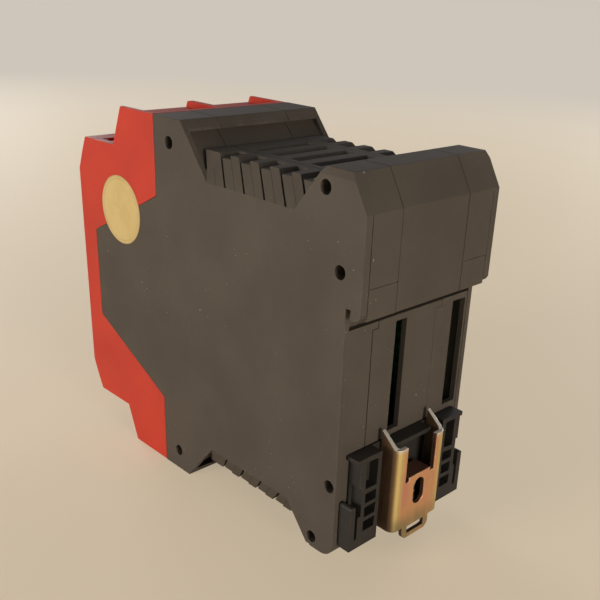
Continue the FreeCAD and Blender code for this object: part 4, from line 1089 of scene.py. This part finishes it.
@dataclass
class Housing:
    """Black shells, middle frame, red hood and rail foot, with rounded edges."""

    shell_round: float = 0.20 * MM
    hood_round: float = 0.30 * MM
    foot_round: float = 0.20 * MM

    def build(self, wardrobe: Wardrobe) -> None:
        """Build the rounded solids.

        Args:
            wardrobe: Finishes, and where the pieces are added.
        """
        parts = (
            ("side_shell_right", self.shell_round),
            ("side_shell_left", self.shell_round),
            ("centre_frame", self.shell_round),
            ("front_hood", self.hood_round),
            ("rail_foot", self.foot_round),
        )
        for node, radius in parts:
            RoundedSolid(node, Body.HOUSING, radius).build(wardrobe)


@dataclass
class RailClip:
    """Sprung rail clip, with its pull slot drawn narrower and longer."""

    edge_round: float = 0.14 * MM
    slot_low: float = 14.1 * MM
    slot_high: float = 20.6 * MM
    slot_half: float = 2.6 * MM
    half: float = 1.95 * MM
    low: float = 13.7 * MM
    high: float = 21.0 * MM
    sheet: float = 1.2 * MM
    spare: float = 0.02 * MM

    def reshape(self, mesh: bpy.types.Mesh) -> None:
        """Redraw the slot's rim with a smaller radius and longer sides.

        Each point keeps its direction from the centre of its own end arc: new place = new
        centre + (place - old centre) * new radius / old radius.

        Args:
            mesh: Welded mesh of the clip.
        """
        points = read(mesh.vertices, "co", width=3)
        middle = (self.slot_low + self.slot_high) / 2.0
        rim = (
            (np.abs(points[:, 0]) < self.slot_half + self.spare)
            & (points[:, 2] > self.slot_low - self.spare)
            & (points[:, 2] < self.slot_high + self.spare)
            & (points[:, 1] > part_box("rail_clip")[1][1] - self.sheet)
        )
        ratio = self.half / self.slot_half
        upper = points[:, 2] > middle
        old = np.where(upper, self.slot_high - self.slot_half, self.slot_low + self.slot_half)
        new = np.where(upper, self.high - self.half, self.low + self.half)
        points[rim, 0] *= ratio
        points[rim, 2] = (new + (points[:, 2] - old) * ratio)[rim]
        mesh.vertices.foreach_set("co", points.ravel())
        LOG.info("clip slot: %d points moved", int(rim.sum()))

    def build(self, wardrobe: Wardrobe) -> None:
        """Build the clip, which slides on its own body."""
        solid = RoundedSolid("rail_clip", Body.CLIP, self.edge_round, steps=2, smooth=True)
        solid.build(wardrobe, self.reshape)


@dataclass
class TerminalScrews:
    """Round slotted heads and shanks of the terminal screws, all in one piece."""

    head_radius: float = 1.75 * MM
    head_tall: float = 1.8 * MM
    dome: float = 0.25 * MM
    slot_half: float = 0.25 * MM
    slot_deep: float = 0.8 * MM
    shank_radius: float = 1.2 * MM
    pitch: float = 5.08 * MM
    first: float = 3.04 * MM
    poles: int = 4
    tier_up: float = 8.8 * MM
    tier_back: float = 18.4 * MM
    shank_long: float = 5.4 * MM
    turns: int = 24
    chords: int = 7
    across: int = 15

    def rows(self) -> np.ndarray:
        """Place the chords across the head, doubled at the slot's walls.

        Returns:
            The distance of each chord from the head's centre.
        """
        outer = np.linspace(self.slot_half, self.head_radius * 0.998, self.chords)
        inner = np.array([-self.slot_half, -self.slot_half, self.slot_half, self.slot_half])
        return np.concatenate([-outer[:0:-1], inner, outer[1:]])

    def head(self) -> tuple[np.ndarray, np.ndarray]:
        """Shape one head, facing -Y round the origin.

        Each row is a chord of the head's circle: across = share * sqrt(R^2 - row^2), with the
        share running from -1 to 1. The face stands out by dome * (1 - (distance / R)^2), less
        the slot's depth between the slot's walls. The first and last point of each row are
        repeated at the back of the head, which makes its side.

        Returns:
            The points and the quads.
        """
        row = self.rows()
        share = np.concatenate([[-1.0], np.linspace(-1.0, 1.0, self.across), [1.0]])
        chord = np.sqrt(self.head_radius**2 - row**2)
        across = share[None, :] * chord[:, None]
        up = np.repeat(row[:, None], share.size, axis=1)
        ratio = (across**2 + up**2) / self.head_radius**2
        out = self.dome * (1.0 - ratio) - self.dome
        count = np.arange(row.size)
        inside = (count > row.size // 2 - 2) & (count < row.size // 2 + 1)
        out = out - self.slot_deep * inside[:, None]
        out[:, [0, -1]] = -self.head_tall
        points = np.stack([across, -out, up], axis=-1)
        return points.reshape(-1, 3), grid_faces(row.size, share.size)

    def shank(self) -> tuple[np.ndarray, np.ndarray]:
        """Shape one shank: a tube of constant radius behind the head, closed by a small cone.

        Returns:
            The points and the quads.
        """
        tip = self.head_tall + self.shank_long
        along = np.array([self.head_tall, tip - self.dome, tip, tip])
        radius = np.array([1.0, 1.0, 0.75, 0.02]) * self.shank_radius
        return turned(radius, along, self.turns)

    def places(self) -> np.ndarray:
        """Place the heads: every pole on both sides, both tiers and both ends.

        Returns:
            One centre for each head.
        """
        low, high = (np.array(corner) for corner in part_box("terminal_screws"))
        poles = self.first + self.pitch * np.arange(self.poles)
        across = np.concatenate([-poles, poles])
        middle = (low[2] + high[2]) / 2.0
        outer = high[2] - self.head_radius - middle
        rows = ((low[1] + self.tier_back, outer), (low[1], outer - self.tier_up))
        levels = [(y, middle + sign * z) for y, z in rows for sign in (-1, 1)]
        return np.array([(x, y, z) for y, z in levels for x in across])

    def build(self, wardrobe: Wardrobe) -> None:
        """Build all screws as one piece that replaces the plain ones.

        Args:
            wardrobe: Finishes, and where the piece is added.
        """
        head_points, head_quads = self.head()
        shank_points, shank_quads = self.shank()
        points = np.concatenate([head_points, shank_points])
        quads = np.concatenate([head_quads, shank_quads + len(head_points)])
        mesh = mesh_of("terminal_screws_fine", *repeated(points, quads, self.places()))
        piece = wardrobe.add(mesh, "terminal_screws_fine", Body.HOUSING, "zinc_steel")
        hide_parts("terminal_screws")


@dataclass
class Indicators:
    """Four small domed lamps on the front board."""

    radius: float = 1.5 * MM
    count: int = 4
    pitch: float = 5.0 * MM
    turns: int = 32
    steps: int = 9
    collar: float = 0.35
    shoulder: float = 0.42
    neck: float = 0.94

    def build(self, wardrobe: Wardrobe) -> None:
        """Build each lamp as a turned profile.

        The profile is a straight side, then a quarter ellipse: radius * cos(t) out and
        dome * sin(t) up, for t from 0 to a right angle.

        Args:
            wardrobe: Finishes, and where the piece is added.
        """
        low, high = (np.array(corner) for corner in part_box("indicators"))
        tall = high[1] - low[1]
        turn = np.linspace(0.0, np.pi / 2.0, self.steps)
        dome = self.shoulder + (1.0 - self.shoulder) * np.sin(turn)
        radius = np.concatenate([[1.0, 1.0], np.cos(turn) * self.neck, [0.0]]) * self.radius
        rise = np.concatenate([[0.0, self.collar], dome, [1.0]]) * tall
        shape, quads = turned(radius, high[1] - rise, self.turns)
        levels = low[2] + self.radius + self.pitch * np.arange(self.count)
        places = np.stack([np.zeros(self.count), np.zeros(self.count), levels], axis=-1)
        mesh = mesh_of("indicator_domes", *repeated(shape, quads, places))
        piece = wardrobe.add(mesh, "indicator_domes", Body.HOUSING, "indicator")
        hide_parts("indicators")


# Stage, light and camera -------------------------------------------------------------------


@dataclass(frozen=True)
class Lamp:
    """A square area lamp that points at the middle of the module."""

    name: str
    place: tuple
    size: float
    power: float
    colour: tuple
    aim: tuple = (0.0, 0.0, 0.05)

    def add(self) -> None:
        """Add the lamp to the scene."""
        data = bpy.data.lights.new(self.name, "AREA")
        data.size = self.size
        data.energy = self.power
        data.color = self.colour[:3]
        lamp = bpy.data.objects.new(self.name, data)
        lamp.location = self.place
        aim = Vector(self.aim) - Vector(self.place)
        lamp.rotation_euler = aim.to_track_quat("-Z", "Y").to_euler()
        bpy.context.scene.collection.objects.link(lamp)


@dataclass(frozen=True)
class Viewpoint:
    """The camera behind the right rear corner, a little above the module.

    The azimuth is counted from the terminal front, in degrees like elevation and roll.
    """

    sensor: float = 36.0
    lens: float = 50.22
    shift: tuple = (-0.0335, 0.100)
    azimuth: float = 134.862
    elevation: float = 24.443
    roll: float = 2.514
    place: tuple = (0.14209, 0.10791 + DATUM_Y, 0.13088)

    def add(self) -> None:
        """Add the camera and make it the scene's own."""
        data = bpy.data.cameras.new("camera")
        data.sensor_width = self.sensor
        data.lens = self.lens
        data.shift_x, data.shift_y = self.shift
        camera = bpy.data.objects.new("camera", data)
        azimuth, elevation = math.radians(self.azimuth), math.radians(self.elevation)
        back = Vector((
            math.sin(azimuth) * math.cos(elevation),
            -math.cos(azimuth) * math.cos(elevation),
            math.sin(elevation),
        ))
        right = Vector((0.0, 0.0, 1.0)).cross(back).normalized()
        level = Matrix((right, back.cross(right), back)).transposed()
        turn = level @ Matrix.Rotation(math.radians(self.roll), 3, "Z")
        camera.matrix_world = Matrix.Translation(self.place) @ turn.to_4x4()
        bpy.context.scene.collection.objects.link(camera)
        bpy.context.scene.camera = camera


@dataclass
class Studio:
    """Pale floor that fades into a pale surround, soft low light and the camera."""

    floor_colour: tuple = rgb(230, 212, 184)
    floor_second: tuple = rgb(216, 198, 172)
    surround: tuple = rgb(206, 198, 186)
    ambient: tuple = rgb(166, 166, 168)
    ceiling: tuple = rgb(76, 78, 82)
    overhead: tuple = rgb(104, 105, 108)
    near_glow: float = 0.50
    fade: tuple = (0.20, 1.10)
    dusk: tuple = (-0.05, 0.50)
    reach: float = 6.0
    below: float = 0.00005
    lamps: tuple = (
        Lamp("key", (1.05, -0.22, 0.22), 0.40, 8.4, rgb(255, 248, 240)),
        Lamp("rear", (0.20, 1.18, 0.20), 0.40, 9.6, rgb(255, 247, 236)),
        Lamp("front", (-0.28, -1.20, 0.26), 0.50, 8.2, rgb(250, 251, 255)),
        Lamp("left", (-1.20, -0.24, 0.24), 0.50, 7.0, rgb(250, 251, 255)),
    )

    def build(self) -> None:
        """Add floor, surround, lamps and camera."""
        self.add_floor()
        self.add_surround()
        for lamp in self.lamps:
            lamp.add()
        Viewpoint().add()
        bpy.context.scene.view_settings.view_transform = "Standard"
        LOG.info("studio: floor, surround, camera and %d lamps", len(self.lamps))

    def add_floor(self) -> None:
        """Add the floor just below the lowest point of the module."""
        level = CAD_BOUNDS[0][2] - self.below
        corners = np.array([[-1, -1], [1, -1], [1, 1], [-1, 1]], float) * self.reach
        points = np.column_stack([corners, np.full(4, level)])
        floor = bpy.data.objects.new("floor", mesh_of("floor", points, np.array([[0, 1, 2, 3]])))
        bpy.context.scene.collection.objects.link(floor)
        floor.data.materials.append(self.floor_finish())

    def floor_finish(self) -> bpy.types.Material:
        """Build the floor's material.

        To the eye the floor glows a little near the module, more with distance, and ends in
        the colour of the surround, so that no horizon shows: glow = near + (1 - near) *
        ramp(distance).

        Returns:
            The material.
        """
        graph = Graph("floor")
        cloud = graph.noise(0.10, 4.0)
        grain = graph.noise(0.0015, 3.0)
        colour = graph.mix(cloud * 0.25, self.floor_colour, self.floor_second)
        normal = graph.bump(grain, 0.00005, 0.15)
        material = graph.finish(Base_Color=colour, Roughness=0.62 + grain * 0.1, Normal=normal)
        across, along, _ = graph.axes()
        far = (across.power(2.0) + along.power(2.0)).power(0.5).ramp(*self.fade)
        seen = Value(graph, graph.node("ShaderNodeLightPath").outputs["Is Camera Ray"])
        shade = graph.mix(far, self.floor_colour, self.surround)
        glow = graph.node("ShaderNodeEmission", None, {"Color": shade})
        share = seen * (far * (1.0 - self.near_glow) + self.near_glow)
        blend = graph.node(
            "ShaderNodeMixShader",
            None,
            {0: share, 1: graph.shader.outputs[0], 2: glow.outputs[0]},
        )
        graph.feed(graph.output.inputs["Surface"], blend.outputs[0])
        return material

    def add_surround(self) -> None:
        """Light the module from a pale room that is darker overhead.

        The eye and gloss see a paler room than the one that lights the module.
        """
        world = bpy.data.worlds.new("studio")
        bpy.context.scene.world = world
        world.use_nodes = True
        nodes = Nodes(world.node_tree)
        rays = nodes.node("ShaderNodeLightPath").outputs
        seen = Value(nodes, rays["Is Camera Ray"])
        for kind in ("Is Glossy Ray", "Is Transmission Ray"):
            seen = seen.highest(rays[kind])
        place = nodes.node("ShaderNodeTexCoord").outputs["Generated"]
        split = nodes.node("ShaderNodeSeparateXYZ", None, {0: place})
        height = Value(nodes, split.outputs[2]).ramp(*self.dusk)
        shades = {0: seen}
        pairs = ((self.ambient, self.ceiling), (self.surround, self.overhead))
        for index, (level, high) in enumerate(pairs, 1):
            colour = nodes.mix(height, level, high)
            shade = nodes.node("ShaderNodeBackground", None, {"Color": colour})
            shades[index] = shade.outputs[0]
        blend = nodes.node("ShaderNodeMixShader", None, shades)
        nodes.node("ShaderNodeOutputWorld", None, {"Surface": blend.outputs[0]})


def main() -> None:
    """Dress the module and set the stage."""
    logging.basicConfig(level=logging.INFO)
    wardrobe = Wardrobe()
    wardrobe.dress()
    for part in (Housing(), RailClip(), TerminalScrews(), Indicators()):
        part.build(wardrobe)
        LOG.info("built %s", type(part).__name__)
    Studio().build()


if __name__ == "__main__":
    main()
